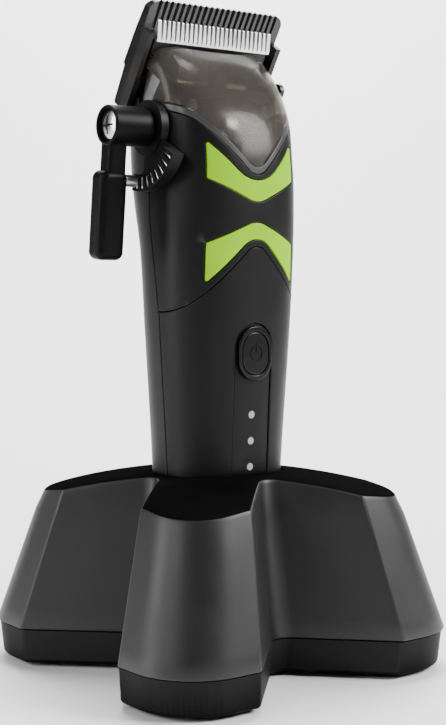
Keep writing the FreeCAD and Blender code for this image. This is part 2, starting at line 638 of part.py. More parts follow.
def make_lever():
    hub = rod(HUB_RADIUS, (HUB_OUTER_X, HUB_Y, HUB_Z), (HUB_INNER_X, HUB_Y, HUB_Z))
    hub = hub.makeFillet(0.5, [e for e in hub.Edges if e.BoundBox.XLength < 0.01])
    well = rod(4.55, (HUB_OUTER_X - 1, HUB_Y, HUB_Z), (HUB_OUTER_X + 1.3, HUB_Y, HUB_Z))
    neck = plate_yz(
        [(HUB_Y - 2.4, 0, 0), (HUB_Y + 2.9, 0, 0), (HUB_Y + 2.9, -14, 0), (HUB_Y - 2.4, -14, 0)],
        -36.3,
        -30.6,
    )
    neck = neck.makeFillet(1.2, [e for e in neck.Edges if abs(e.Length - 14) < 0.1])
    neck.translate(Vector(0, 0, HUB_Z))
    paddle = box((-38.4, -29.9), (HUB_Y - 2.9, HUB_Y + 4.0), (HUB_Z - 36.0, HUB_Z - 12.0))
    paddle = paddle.makeFillet(2.2, paddle.Edges)
    grooves = []
    for i in range(13):
        z = HUB_Z - 34.0 + i * 1.5
        grooves.append(box((-39, -37.9), (HUB_Y + 1.6, HUB_Y + 6), (z, z + 0.7)))
        grooves.append(box((-39, -37.0), (HUB_Y + 3.5, HUB_Y + 6), (z, z + 0.7)))
    paddle = paddle.cut(Part.makeCompound(grooves))
    lean = Rotation(X_AXIS, -LEVER_LEAN)
    pivot = Vector(0, HUB_Y, HUB_Z)
    blade = join(neck, paddle)
    blade.rotate(pivot, X_AXIS, -LEVER_LEAN)
    bore_floor = around_hub(DETENT_RADIUS, LEVER_LEAN, -32.2)
    bore_mouth = around_hub(DETENT_RADIUS, LEVER_LEAN, -20)
    plunger_bore = rod(PLUNGER_RADIUS + 0.05, bore_floor, bore_mouth)
    shaft_bore = rod(SHAFT_RADIUS, (-40, HUB_Y, HUB_Z), (-20, HUB_Y, HUB_Z))
    lever = join(hub, blade).cut(well).cut(plunger_bore).cut(shaft_bore)
    save("taper_lever", lever)

    # Shaft through the casing, with the cam pin on its inner end.
    cam_x = (CAM_DISC_X[1], ARM_X[1] + 0.1)
    cam_point = HEAD.multVec(Vector(0, CAM_T, CAM_W))
    shaft = rod(SHAFT_RADIUS, (HUB_OUTER_X + 2.4, HUB_Y, HUB_Z), (cam_x[0] - 0.2, HUB_Y, HUB_Z))
    disc = rod(4.4, (CAM_DISC_X[0], HUB_Y, HUB_Z), (cam_x[0], HUB_Y, HUB_Z))
    cam_pin = rod(CAM_PIN_RADIUS, (cam_x[0], cam_point.y, cam_point.z), (cam_x[1], cam_point.y, cam_point.z))
    thread = rod(1.2, (HUB_OUTER_X, HUB_Y, HUB_Z), (HUB_OUTER_X + 8, HUB_Y, HUB_Z))
    save("lever_shaft", join(shaft, disc, cam_pin).cut(thread))

    head = rod(4.1, (HUB_OUTER_X + 0.2, HUB_Y, HUB_Z), (HUB_OUTER_X + 1.3, HUB_Y, HUB_Z))
    head = head.makeFillet(0.4, [e for e in head.Edges if e.BoundBox.XMax < HUB_OUTER_X + 0.3])
    stem = rod(1.2, (HUB_OUTER_X + 1.3, HUB_Y, HUB_Z), (HUB_OUTER_X + 8, HUB_Y, HUB_Z))
    cross = join(
        box((HUB_OUTER_X - 1, HUB_OUTER_X + 0.8), (HUB_Y - 0.45, HUB_Y + 0.45), (HUB_Z - 2.6, HUB_Z + 2.6)),
        box((HUB_OUTER_X - 1, HUB_OUTER_X + 0.8), (HUB_Y - 2.6, HUB_Y + 2.6), (HUB_Z - 0.45, HUB_Z + 0.45)),
    )
    save("lever_screw", join(head, stem).cut(cross))

    plunger_back = around_hub(DETENT_RADIUS, LEVER_LEAN, -30.6)
    plunger_front = around_hub(DETENT_RADIUS, LEVER_LEAN, -26.6)
    plunger = rod(PLUNGER_RADIUS, plunger_back, plunger_front)
    nose = Part.makeSphere(1.2, Vector(*around_hub(DETENT_RADIUS, LEVER_LEAN, -26.95)))
    save("detent_plunger", join(plunger, nose))
    spring = coil(1.15, 0.3, 3, Vector(0, 0, 0), 1.2)
    spring.Placement = Placement(Vector(*around_hub(DETENT_RADIUS, LEVER_LEAN, -32.0)), Rotation(Y_AXIS, 90))
    save("plunger_spring", spring)

    # The detent plate is fixed to the casing: a boss about the shaft and a toothed arc below it.
    boss = rod(7.5, (HUB_INNER_X + 0.25, HUB_Y, HUB_Z), (-21.3, HUB_Y, HUB_Z))
    web = sector(6.0, 13.4, LEVER_LEAN - 2, 62, -23.4, -22.0)
    arc = sector(12.6, 17.2, LEVER_LEAN - 8, 62, DETENT_X, -22.0)
    plate = join(boss, web, arc)
    windows = [sector(13.3, 16.6, a, a + 4.4, DETENT_X - 1, DETENT_X + 1.6) for a in range(-9, 58, 9)]
    bearing = rod(SHAFT_RADIUS + 0.05, (-30, HUB_Y, HUB_Z), (-10, HUB_Y, HUB_Z))
    plate = plate.cut(Part.makeCompound(windows)).cut(bearing)
    save("detent_plate", plate.cut(body_loft(-0.02)))
    rack = [sector(13.35, 16.55, a + 0.1, a + 4.3, DETENT_X + 0.9, DETENT_X + 1.6) for a in range(-9, 58, 9)]
    save("detent_rack", *rack)


# ---------------------------------------------------------------- power and controls
def make_controls():
    button = slot_xz(9.0, 11.7, BUTTON_Z, -17.25, -14.0)
    button = button.makeFillet(0.35, [e for e in button.Edges if e.BoundBox.YMax < -17.2])
    flange = slot_xz(10.2, 13.0, BUTTON_Z, -14.3, -13.7)
    stem = rod(1.6, (0, -13.8, BUTTON_Z), (0, -12.45 - BUTTON_TRAVEL, BUTTON_Z))
    button = join(button, flange, stem)
    mark = tube(2.2, 1.75, (0, -18, BUTTON_Z), (0, -17.1, BUTTON_Z))
    mark = mark.cut(box((-0.7, 0.7), (-18, -17), (BUTTON_Z + 1, BUTTON_Z + 3)))
    bar = box((-0.22, 0.22), (-18, -17.1), (BUTTON_Z + 0.3, BUTTON_Z + 2.7))
    save("power_button", button.cut(mark).cut(bar))

    ring = slot_xz(11.4, 14.9, BUTTON_Z, -17.35, -15.0)
    ring = ring.cut(slot_xz(9.3, 12.0, BUTTON_Z, -18, -14))
    ring = ring.makeFillet(0.3, [e for e in ring.Edges if e.BoundBox.YMax < -17.3])
    save("button_ring", ring)

    save("main_board", box((-9, 9), (BOARD_FRONT_Y, BOARD_BACK_Y), (44, 93)))
    switch = box((-3, 3), (-12.0, BOARD_FRONT_Y), (BUTTON_Z - 3, BUTTON_Z + 3))
    save("tact_switch", join(switch, rod(1.6, (0, -12.4, BUTTON_Z), (0, -12.0, BUTTON_Z))))
    emitters = [box((-0.9, 0.9), (-12.3, BOARD_FRONT_Y), (z - 0.8, z + 0.8)) for z in LIGHT_HEIGHTS]
    save("light_emitters", *emitters)

    cell = rod(CELL_RADIUS, (0, CELL_Y, CELL_Z[0]), (0, CELL_Y, CELL_Z[1]))
    cell = cell.makeFillet(0.8, [e for e in cell.Edges if e.BoundBox.ZLength < 0.01])
    save("battery_cell", cell)
    wall = 1.4
    outer = CELL_RADIUS + wall
    low = CELL_Z[0] - wall
    cradle = tube(outer, CELL_RADIUS, (0, CELL_Y, low), (0, CELL_Y, CELL_Z[1] + 2))
    cradle = cradle.common(box((-20, 20), (CELL_Y + 0.8, 30), (0, 200)))
    ends = [rod(outer, (0, CELL_Y, z), (0, CELL_Y, z + wall)) for z in (low, CELL_Z[1])]
    save("battery_cradle", join(cradle, *ends))

    plates = [
        rod(1.85, (x, CHARGE_PIN_Y, BODY_BOTTOM + 0.05), (x, CHARGE_PIN_Y, BODY_BOTTOM + 2.4))
        for x in (-CHARGE_PIN_X, CHARGE_PIN_X)
    ]
    save("charge_contacts", *plates)
    shell = plate_xy(obround_xy(10.0, 4.2, SOCKET_Y), BODY_BOTTOM + 0.3, BODY_BOTTOM + 4.4)
    mouth = plate_xy(obround_xy(9.0, 3.2, SOCKET_Y), BODY_BOTTOM - 1, BODY_BOTTOM + 3.8)
    tongue = box((-3.2, 3.2), (SOCKET_Y - 0.35, SOCKET_Y + 0.35), (BODY_BOTTOM + 0.8, BODY_BOTTOM + 4.2))
    save("charge_socket", join(shell.cut(mouth), tongue))

    screws = []
    for x, y, z in CASING_SCREWS:
        for side in (-1, 1):
            head = rod(2.1, (side * x, y - 1.15, z), (side * x, y - 0.05, z))
            screws.append(join(head, rod(1.1, (side * x, y - CASING_SCREW_LENGTH, z), (side * x, y - 1.1, z))))
    save("casing_screws", *screws)


# ---------------------------------------------------------------- charging stand
def stand_corners(scale):
    """The stand's plan: a square whose four sides are drawn in to deep rounded valleys."""
    quarter = (
        (0, -25.2, 5.6),
        (24.6, -STAND_HALF, 1.6),
        (STAND_HALF, -STAND_HALF, 18.0),
        (STAND_HALF, -24.6, 1.6),
    )
    corners = []
    for turn in range(4):
        c = round(math.cos(turn * math.pi / 2))
        s = round(math.sin(turn * math.pi / 2))
        for x, y, r in quarter:
            corners.append(((x * c - y * s) * scale, (x * s + y * c) * scale, r * scale))
    return corners


def stand_wire(scale, z, inset=0.0):
    wire = outline(stand_corners(scale), lambda p: Vector(p.x, p.y, z))
    if inset:
        wire = wire.makeOffset2D(-inset)
    return wire


def stand_loft(z_low, z_high, scale_low, scale_high, inset=0.0):
    wires = [stand_wire(scale_low, z_low, inset), stand_wire(scale_high, z_high, inset)]
    return Part.makeLoft(wires, True, True)


def crown(drop):
    """A shallow ball, whose cap is the stand's top."""
    return Part.makeSphere(STAND_CROWN_RADIUS - drop, Vector(0, 0, STAND_CROWN_Z - STAND_CROWN_RADIUS))


def stand_scale(z):
    return 1 - (1 - STAND_TOP_SCALE) * (z - STAND_SEAM_Z) / (STAND_EDGE_Z - STAND_SEAM_Z)


def make_stand():
    high = STAND_CROWN_Z + 1
    outer = stand_loft(STAND_SEAM_Z, high, 1.0, stand_scale(high)).common(crown(0))
    cavity = stand_loft(STAND_SEAM_Z - 1, high, 1.0, stand_scale(high), STAND_WALL).common(crown(STAND_WALL))
    pocket = body_loft(-POCKET_GAP, POCKET_FLOOR, POCKET_STEPS)
    sleeve = body_loft(-POCKET_GAP - 1.8, POCKET_FLOOR - 2.0, POCKET_STEPS)
    shell = outer.cut(pocket)
    shell = shell.cut(cavity.cut(sleeve))
    pin_xs = (-CHARGE_PIN_X, CHARGE_PIN_X)
    pin_holes = [rod(1.35, (x, CHARGE_PIN_Y, 0), (x, CHARGE_PIN_Y, 30)) for x in pin_xs]
    shell = shell.cut(Part.makeCompound(pin_holes))
    lobes = [(sx * LOBE, sy * LOBE) for sx in (-1, 1) for sy in (-1, 1)]
    for spot in lobes:
        boss = rod(3.6, (*spot, 10.4), (*spot, 50)).common(outer)
        shell = shell.fuse(boss).cut(rod(STAND_SCREW_RADIUS, (*spot, 10), (*spot, 17)))
    save("stand_shell", shell)

    tray = stand_loft(1.0, STAND_SEAM_Z - 0.35, 0.972, 0.988)
    lower_rim = [e for e in tray.Edges if e.BoundBox.ZMax < 1.01]
    tray = tray.makeFillet(1.3, lower_rim)
    hollow = stand_loft(3.2, STAND_SEAM_Z + 1, 0.972, 0.988, STAND_WALL)
    tray = tray.cut(hollow)
    posts = [rod(4.0, (*spot, 3.0), (*spot, 10.2)) for spot in lobes]
    rests = [rod(1.8, (x, y, 3.0), (x, y, 9.2)) for x in (-12, 12) for y in (-11, 17)]
    tray = join(tray, *posts, *rests)
    for spot in lobes:
        tray = tray.cut(rod(STAND_SCREW_RADIUS + 0.2, (*spot, -1), (*spot, 20)))
        tray = tray.cut(rod(3.4, (*spot, -1), (*spot, 3.4)))
        tray = tray.cut(tube(FOOT_RADII[0] + 0.1, FOOT_RADII[1] - 0.1, (*spot, 0), (*spot, 1.6)))
    inlet_hole = box((-5.2, 5.2), (15, 40), (5.0, 9.4))
    save("stand_base", tray.cut(inlet_hole))

    feet = []
    screws = []
    for spot in lobes:
        feet.append(tube(*FOOT_RADII, (*spot, 0), (*spot, 1.6)))
        shank = rod(STAND_SCREW_RADIUS, (*spot, 3.4), (*spot, 16))
        screws.append(join(rod(3.0, (*spot, 1.8), (*spot, 3.4)), shank))
    save("stand_feet", *feet)
    save("stand_screws", *screws)

    ballast = plate_xy([(20, -8.4, 3), (20, 8.4, 3), (-20, 8.4, 3), (-20, -8.4, 3)], 3.2, 5.6)
    save("ballast_plate", ballast)
    save("stand_board", box((-14.5, 14.5), (-13.5, 19.5), (9.2, 10.4)))
    block = box((-8.5, 8.5), (-9, -3), (10.4, 15.4))
    bores = [rod(1.5, (x, CHARGE_PIN_Y, 11.4), (x, CHARGE_PIN_Y, 20)) for x in pin_xs]
    save("pin_block", block.cut(Part.makeCompound(bores)))
    pins = []
    for x in pin_xs:
        pin = rod(1.2, (x, CHARGE_PIN_Y, 13.6), (x, CHARGE_PIN_Y, BODY_BOTTOM - 0.05))
        collar = rod(1.4, (x, CHARGE_PIN_Y, 13.4), (x, CHARGE_PIN_Y, 14.4))
        pins.append(join(pin, collar))
    save("charge_pins", *pins)
    springs = [coil(1.0, 0.3, 4, Vector(x, CHARGE_PIN_Y, 11.6), 1.6) for x in pin_xs]
    save("pin_springs", *springs)

    socket = box((-4.9, 4.9), (17.6, 25.4), (5.4, 9.2))
    mouth = box((-4.2, 4.2), (19.6, 40), (6.0, 8.5))
    tongue = box((-3.2, 3.2), (19.6, 24.6), (6.95, 7.55))
    save("inlet_socket", join(socket.cut(mouth), tongue))


def main():
    os.makedirs("parts", exist_ok=True)
    make_casing()
    make_blades()
    make_head_frame()
    make_drive()
    make_lever()
    make_controls()
    make_stand()


main()
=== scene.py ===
import math

import bmesh
import bpy
import numpy as np
from mathutils import Matrix, Vector
from mathutils.geometry import delaunay_2d_cdt


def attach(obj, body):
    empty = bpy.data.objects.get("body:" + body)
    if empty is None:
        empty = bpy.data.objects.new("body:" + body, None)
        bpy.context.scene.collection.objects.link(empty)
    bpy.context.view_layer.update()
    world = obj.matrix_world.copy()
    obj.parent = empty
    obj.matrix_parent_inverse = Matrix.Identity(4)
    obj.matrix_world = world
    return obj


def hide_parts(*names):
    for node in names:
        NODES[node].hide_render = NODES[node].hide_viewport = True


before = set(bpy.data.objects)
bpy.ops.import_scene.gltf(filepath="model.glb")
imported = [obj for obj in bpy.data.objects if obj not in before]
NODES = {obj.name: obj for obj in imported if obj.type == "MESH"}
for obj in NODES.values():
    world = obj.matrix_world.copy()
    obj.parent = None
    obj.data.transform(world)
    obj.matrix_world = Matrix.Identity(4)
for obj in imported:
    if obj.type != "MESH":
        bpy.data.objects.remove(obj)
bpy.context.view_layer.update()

# Lengths are in millimetres until a mesh is made. +Z is up and the clipper's front faces -Y.
MM = 0.001

# ---------------- driving dimensions, as in the CAD model
# height, half width, front y, back y of the clipper's casing
BODY_PROFILE = np.array((
    (18.0, 16.5, -13.5, 15.3),
    (58.0, 18.2, -15.2, 16.1),
    (95.0, 20.5, -17.0, 17.3),
    (116.0, 21.5, -17.7, 18.3),
    (131.0, 21.95, -18.1, 21.6),
    (142.0, 21.8, -17.6, 23.3),
    (152.0, 21.2, -14.9, 22.3),
    (162.0, 20.5, -8.4, 20.2),
    (171.4, 20.0, 1.2, 19.4),
    (181.0, 19.4, 11.5, 22.0),
))
BODY_BOTTOM = 18.0
# power of the handle's and the head's sections, and the heights between which one turns into the other
SUPERELLIPSE = 2.5
HEAD_SUPERELLIPSE = 3.6
SQUARING = (140.0, 168.0)
# half width and half depth of a typical section, and the half girth that the chart gives every section
TYPICAL_SECTION = (20.5, 18.5)
HALF_GIRTH = 60.0
FAR = 60.0
SEAM = 0.24
EDGE = 0.3
WALL = 1.8
REAR_RIM_Z = 155.9
SHELL_TOP = 158.4
REAR_TOP_T = 34.2
BEZEL_END_Y = 1.8
BOTTOM_THICKNESS = 1.6
ACCENT_THICKNESS = 1.0
ACCENT_GAP = 0.08
# x and z of the screws that hold the rear shell, on both sides
CASING_SCREWS = ((11.6, 34.0), (8.0, 128.0))
CASING_SCREW_HOLE = 2.3

# the strip with the button and the lights
BUTTON_Z = 87.75
BUTTON_HOLE = (11.5, 15.0)
LIGHT_HEIGHTS = (70.8, 63.55, 56.3)
LIGHT_HOLE = 1.05
RECESS = 0.4
STRIP_HALF = 6.2
STRIP_BOTTOM = BODY_BOTTOM + 3
STRIP_TOP = BUTTON_Z + 8.15
STRIP_THICKNESS = 0.6
STRIP_GAP = 0.15
STRIP_END_GAP = 0.2

# the head's frame: its tip, down along the blade (t) and out of the blade's skin side (w)
TIP = np.array((0.0, -0.94, 182.4))
BLADE_DOWN = np.array((0.0, math.sin(math.radians(32)), -math.cos(math.radians(32))))
BLADE_OUT = np.array((0.0, math.cos(math.radians(32)), math.sin(math.radians(32))))
LID_WALL = 1.5
LID_EDGE_Y = 3.05
LID_HALF_WIDTH = 19.8
LID_TOP_T = 10.4
LID_TOP_W = -2.4

# the taper lever's hub and screw, and the detent teeth
HUB_Y = 1.0
HUB_Z = 149.0
HUB_OUTER_X = -36.5
HUB_DOME_RADIUS = 9.0
LEVER_SCREW_RADIUS = 3.95
LEVER_RECESS_RADIUS = 3.2
LEVER_RECESS_DEPTH = 0.75
CROSS_ARM = 2.7
CROSS_HALF_WIDTH = 0.5
DETENT_X = -25.6
TOOTH_RADII = (13.4, 16.5)
TOOTH_ANGLES = range(-9, 58, 9)
TOOTH_SPAN = (1.5, 3.6)
TOOTH_RISE = (0.1, 1.6)

# the charging stand
STAND_HALF = 50.6
STAND_SEAM_Z = 10.75
STAND_EDGE_Z = 48.4
STAND_TOP_SCALE = 0.79
STAND_CROWN_Z = 55.07
STAND_CROWN_RADIUS = 187.5
STAND_WALL = 2.5
STAND_RIM_RADIUS = 1.7
STAND_INNER_RIM_RADIUS = 0.8
STAND_RIM_STEPS = 5
# the step of the rim at which the wall's matt finish turns into the top's
STAND_GLOSS_STEP = 3
# distance from the axis at which a wall typically stands, for the wall's lean
STAND_TYPICAL_HALF = 46
VALLEY_BOTTOM = 25.2
VALLEY_RADIUS = 5.6
VALLEY_MOUTH = 24.6
ARM_EDGE_RADIUS = 1.6
ARM_CORNER_RADIUS = 18.0
POCKET_FLOOR = 17.7
POCKET_FLOOR_THICKNESS = 2.0
POCKET_GAP = 0.45
POCKET_WALL = 1.8
POCKET_MOUTH_Z = 54.0
POCKET_WALL_TOP = 50.0
POCKET_LIP = 0.7
POCKET_LIP_STEPS = 4
CHARGE_PINS_X = (-5, 5)
CHARGE_PINS_Y = -6.0
PIN_HOLE = 1.35
PIN_HOLE_POINTS = 16
CONTACT_HOLE = 1.9
SOCKET_HALF_WIDTH = 5.1
SOCKET_Y = (2.3, 6.7)
SOCKET_CORNER = 2.19

# ---------------- camera and lamps, in metres and degrees
CAMERA_PLACE = (-0.24735, -0.32483, 0.10937)
CAMERA_DOWN = 3.495
CAMERA_TURN = -37.498
CAMERA_LENS = 71.74
AIM = (0, 0, 0.1)
BACKDROP_AIM = (1.28, 1.67, 0.5)
BACKDROP_TURN = -37.5
# name, azimuth (0 is in front of the clipper, positive towards +X), elevation, distance, width, height,
# power, aim
LAMPS = (
    ("left_strip", -112, 14, 0.9, 0.18, 1.0, 7.5, AIM),
    ("right_strip", 42, 34, 0.9, 0.34, 0.44, 15, AIM),
    ("shoulder", -80, 24, 1.0, 0.2, 0.3, 2.5, AIM),
    ("overhead", 143, 64, 1.0, 0.6, 0.6, 24, AIM),
    ("backdrop_wash", BACKDROP_TURN, 45, 1.3, 1.8, 0.5, 90, BACKDROP_AIM),
)
WORLD_STRENGTH = 0.08


# ---------------- outlines
def rounded(corners, closed=True, offset=0.0, arc_steps=6, step=1.2):
    """Points along straight sides with rounded corners (u, v, radius).

    Each side is moved to its left by offset, and step is the longest gap on a straight side.
    """
    count = len(corners)
    points = np.array([c[:2] for c in corners], float)
    turned = []
    for i in range(count):
        before = points[i] - points[i - 1]
        after = points[(i + 1) % count] - points[i]
        if not closed and i == 0:
            before = after
        if not closed and i == count - 1:
            after = before
        before = before / np.linalg.norm(before)
        after = after / np.linalg.norm(after)
        left_a = np.array((-before[1], before[0]))
        left_b = np.array((-after[1], after[0]))
        middle = left_a + left_b
        middle = middle / (middle @ left_a)
        here = points[i] + middle * offset
        cross = before[0] * after[1] - before[1] * after[0]
        turn = math.atan2(cross, before @ after)
        radius = corners[i][2]
        if radius > 0:
            radius = max(radius - offset * math.copysign(1, turn), 0.02)
        turned.append((here, before, after, radius, turn))
    loop = []
    for i, (here, before, after, radius, turn) in enumerate(turned):
        if radius > 0 and abs(turn) > 1e-4 and (closed or 0 < i < count - 1):
            reach = radius * math.tan(abs(turn) / 2)
            centre_side = np.array((-before[1], before[0])) * math.copysign(1, turn)
            centre = here - before * reach + centre_side * radius
            start = here - before * reach - centre
            for k in range(arc_steps + 1):
                a = turn * k / arc_steps
                spin = np.array(((math.cos(a), -math.sin(a)), (math.sin(a), math.cos(a))))
                loop.append(centre + spin @ start)
        else:
            loop.append(here)
    if not step:
        return np.array(loop)
    filled = []
    ends = loop[1:] + loop[:1] if closed else loop[1:]
    # the same number of points on a side whatever the offset, so that rings match
    plain = rounded(corners, closed, 0.0, arc_steps, 0) if offset else np.array(loop)
    plain_ends = np.roll(plain, -1, axis=0) if closed else plain[1:]
    for a, b, pa, pb in zip(loop, ends, plain, plain_ends):
        parts = max(int(np.linalg.norm(pb - pa) / step), 1)
        for k in range(parts):
            filled.append(a + (b - a) * k / parts)
    if not closed:
        filled.append(loop[-1])
    return np.array(filled)


def symmetric(half):
    """Corners for u >= 0 from top to bottom, completed with their mirror images, counter-clockwise."""
    right = list(half)[::-1]
    left = [(-u, v, r) for u, v, r in half if u > 0]
    return right + left


def moved_in(points, distance):
    """A closed loop moved to its left, corner by corner."""
    before = points - np.roll(points, 1, axis=0)
    after = np.roll(points, -1, axis=0) - points
    before /= np.linalg.norm(before, axis=1)[:, None]
    after /= np.linalg.norm(after, axis=1)[:, None]
    left = np.stack((-before[:, 1] - after[:, 1], before[:, 0] + after[:, 0]), axis=1)
    length = np.linalg.norm(left, axis=1)[:, None]
    left /= length
    return points + left * distance * np.minimum(2 / np.maximum(length, 1e-6), 1.6)


def inside(points, loops):
    """Whether each point lies inside an odd number of the closed loops."""
    x, y = points[:, 0][:, None], points[:, 1][:, None]
    odd = np.zeros(len(points), bool)
    for loop in loops:
        a = loop
        b = np.roll(loop, -1, axis=0)
        rises = (a[:, 1] > y) != (b[:, 1] > y)
        slope = (b[:, 0] - a[:, 0]) / np.where(b[:, 1] == a[:, 1], 1e-9, b[:, 1] - a[:, 1])
        hits = rises & (x < a[:, 0] + (y - a[:, 1]) * slope)
        odd ^= hits.sum(axis=1) % 2 == 1
    return odd


def filled_region(loops, spacing):
    """Points and triangles that fill the region bounded by loops; the loops' points come first, in order."""
    borders = np.vstack(loops)
    low = borders.min(axis=0)
    high = borders.max(axis=0)
    rows = []
    v = low[1] + spacing / 2
    k = 0
    while v < high[1]:
        u = np.arange(low[0] + spacing * (0.5 if k % 2 else 1.0), high[0], spacing)
        rows.append(np.stack((u, np.full(len(u), v)), axis=1))
        v += spacing * 0.866
        k += 1
    grid = np.vstack(rows) if rows else np.zeros((0, 2))
    grid = grid[inside(grid, loops)] if len(grid) else grid
    keep = []
    for chunk in np.array_split(grid, max(len(grid) // 500, 1)):
        if len(chunk):
            gap = np.linalg.norm(chunk[:, None, :] - borders[None, :, :], axis=2).min(axis=1)
            keep.append(chunk[gap > spacing * 0.55])
    grid = np.vstack(keep) if keep else grid
    points = np.vstack((borders, grid))
    edges = []
    base = 0
    for loop in loops:
        n = len(loop)
        edges += [(base + i, base + (i + 1) % n) for i in range(n)]
        base += n
    _, _, triangles, origins = delaunay_2d_cdt([Vector(p) for p in points], edges, [], 0, 1e-6, True)[:4]
    place = {}
    for new, sources in enumerate(origins):
        for source in sources:
            place[source] = new
    back = {new: source for source, new in place.items()}
    tri = np.array([[back[i] for i in t] for t in triangles if all(i in back for i in t)])
    centres = points[tri].mean(axis=1)
    tri = tri[inside(centres, loops)]
    a, b, c = points[tri[:, 0]], points[tri[:, 1]], points[tri[:, 2]]
    area = (b[:, 0] - a[:, 0]) * (c[:, 1] - a[:, 1]) - (b[:, 1] - a[:, 1]) * (c[:, 0] - a[:, 0])
    tri[area < 0] = tri[area < 0][:, ::-1]
    return points, tri[np.abs(area) > 1e-9]


# ---------------- the casing's surface
def body_size(z):
    """Half width, front y and back y at each height, on a smooth curve through the profile's rows."""
    z = np.asarray(z, float)
    rows = BODY_PROFILE
    k = np.clip(np.searchsorted(rows[:, 0], z, side="right") - 1, 0, len(rows) - 2)
    last = len(rows) - 1
    lower = np.maximum(np.arange(len(rows)) - 1, 0)
    upper = np.minimum(np.arange(len(rows)) + 1, last)
    slopes = (rows[upper, 1:] - rows[lower, 1:]) / (rows[upper, 0] - rows[lower, 0])[:, None]
    span = rows[k + 1, 0] - rows[k, 0]
    t = ((z - rows[k, 0]) / span)[..., None]
    span = span[..., None]
    start, end = rows[k, 1:], rows[k + 1, 1:]
    bend = slopes[k] * span * (t**3 - 2 * t**2 + t) + slopes[k + 1] * span * (t**3 - t**2)
    return start + (end - start) * (3 * t**2 - 2 * t**3) + bend


def section_power(z):
    """The superellipse's power: the head is squarer than the handle."""
    share = np.clip((np.asarray(z, float) - SQUARING[0]) / (SQUARING[1] - SQUARING[0]), 0, 1)
    return SUPERELLIPSE + (HEAD_SUPERELLIPSE - SUPERELLIPSE) * share * share * (3 - 2 * share)


def girth_table():
    """Angle round a typical section as a function of the share of the half girth."""
    angle = np.linspace(0, math.pi, 4001)
    half_width, half_depth = TYPICAL_SECTION
    x = np.abs(np.sin(angle)) ** (2 / SUPERELLIPSE) * half_width
    y = -np.sign(np.cos(angle)) * np.abs(np.cos(angle)) ** (2 / SUPERELLIPSE) * half_depth
    run = np.concatenate(([0], np.cumsum(np.hypot(np.diff(x), np.diff(y)))))
    return run / run[-1] * HALF_GIRTH, angle


GIRTH, ANGLE = girth_table()


def casing_point(chart):
    """Where a chart point (girth from the front's middle, height) lies on the casing."""
    q, z = chart[:, 0], chart[:, 1]
    q = q - 2 * HALF_GIRTH * np.round(q / (2 * HALF_GIRTH))
    angle = np.interp(np.abs(q), GIRTH, ANGLE)
    size = body_size(z)
    half, front, back = size[:, 0], size[:, 1], size[:, 2]
    power = 2 / section_power(z)
    x = np.sign(q) * np.abs(np.sin(angle)) ** power * half
    c = np.cos(angle)
    y = (front + back) / 2 - np.sign(c) * np.abs(c) ** power * (back - front) / 2
    return np.stack((x, y, z), axis=1)


def casing(chart, drop=0.0):
    """Places and outward normals on the casing, drawn in by drop."""
    tiny = 0.05
    place = casing_point(chart)
    along = casing_point(chart + (tiny, 0)) - casing_point(chart - (tiny, 0))
    up = casing_point(chart + (0, tiny)) - casing_point(chart - (0, tiny))
    normal = np.cross(along, up)
    normal /= np.linalg.norm(normal, axis=1)[:, None]
    return place - normal * np.asarray(drop).reshape(-1, 1), normal


def girth_at_x(x, z):
    """Girth of the front's point with that x."""
    half = body_size(z)[..., 0]
    share = np.clip(np.abs(x) / half, 0, 1)
    return np.sign(x) * np.interp(np.arcsin(share ** (section_power(z) / 2)), ANGLE, GIRTH)


def girth_at_y(y, z):
    """Girth, on the +X side, of the flank's point with that y."""
    size = body_size(z)
    front, back = size[..., 1], size[..., 2]
    share = ((front + back) / 2 - y) / ((back - front) / 2)
    share = np.clip(share, -1, 1)
    c = np.sign(share) * np.abs(share) ** (section_power(z) / 2)
    return np.interp(np.arccos(c), ANGLE, GIRTH)


def in_chart_x(points):
    """Points (x, z) on the front to chart points."""
    return np.stack((girth_at_x(points[:, 0], points[:, 1]), points[:, 1]), axis=1)


def in_chart_y(points, side=1):
    """Points (y, z) on a flank to chart points."""
    return np.stack((side * girth_at_y(points[:, 0], points[:, 1]), points[:, 1]), axis=1)


# ---------------- meshes
def placed(name, data):
    """An object of the scene with that data."""
    obj = bpy.data.objects.new(name, data)
    bpy.context.scene.collection.objects.link(obj)
    return obj


def new_piece(name, verts, faces, materials, body, normals=None, indices=None):
    """A mesh object that rides on a body; indices give each face's material."""
    mesh = bpy.data.meshes.new(name)
    places = [tuple(v) for v in np.asarray(verts) * MM]
    mesh.from_pydata(places, [], [tuple(int(i) for i in f) for f in faces])
    mesh.validate(verbose=False)
    mesh.update()
    obj = placed(name, mesh)
    for material in materials:
        mesh.materials.append(material)
    if indices is not None:
        mesh.polygons.foreach_set("material_index", np.asarray(indices, np.int32))
    mesh.polygons.foreach_set("use_smooth", np.ones(len(mesh.polygons), bool))
    if normals is not None:
        mesh.normals_split_custom_set_from_vertices([tuple(n) for n in normals])
    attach(obj, body)
    return obj


def bevelled(obj, width):
    """Adds a small bevel to an object's crisp edges."""
    bevel = obj.modifiers.new("edge", "BEVEL")
    bevel.width = width * MM
    bevel.segments = 2
    bevel.limit_method = "ANGLE"
    bevel.angle_limit = math.radians(35)


def ring_faces(first, second, count):
    """Quads between two matching closed rings of count points that start at first and second."""
    return [(first + i, first + (i + 1) % count, second + (i + 1) % count, second + i) for i in range(count)]


def lip_profile(radius, depth, steps=4):
    """(distance in from the edge, drop, lean) from the panel's face over its rounded edge and down its wall."""
    profile = []
    for k in range(steps + 1):
        a = math.pi / 2 * k / steps
        profile.append((radius * (1 - math.sin(a)), radius * (1 - math.cos(a)), a))
    profile.append((0.0, depth, math.pi / 2))
    return profile


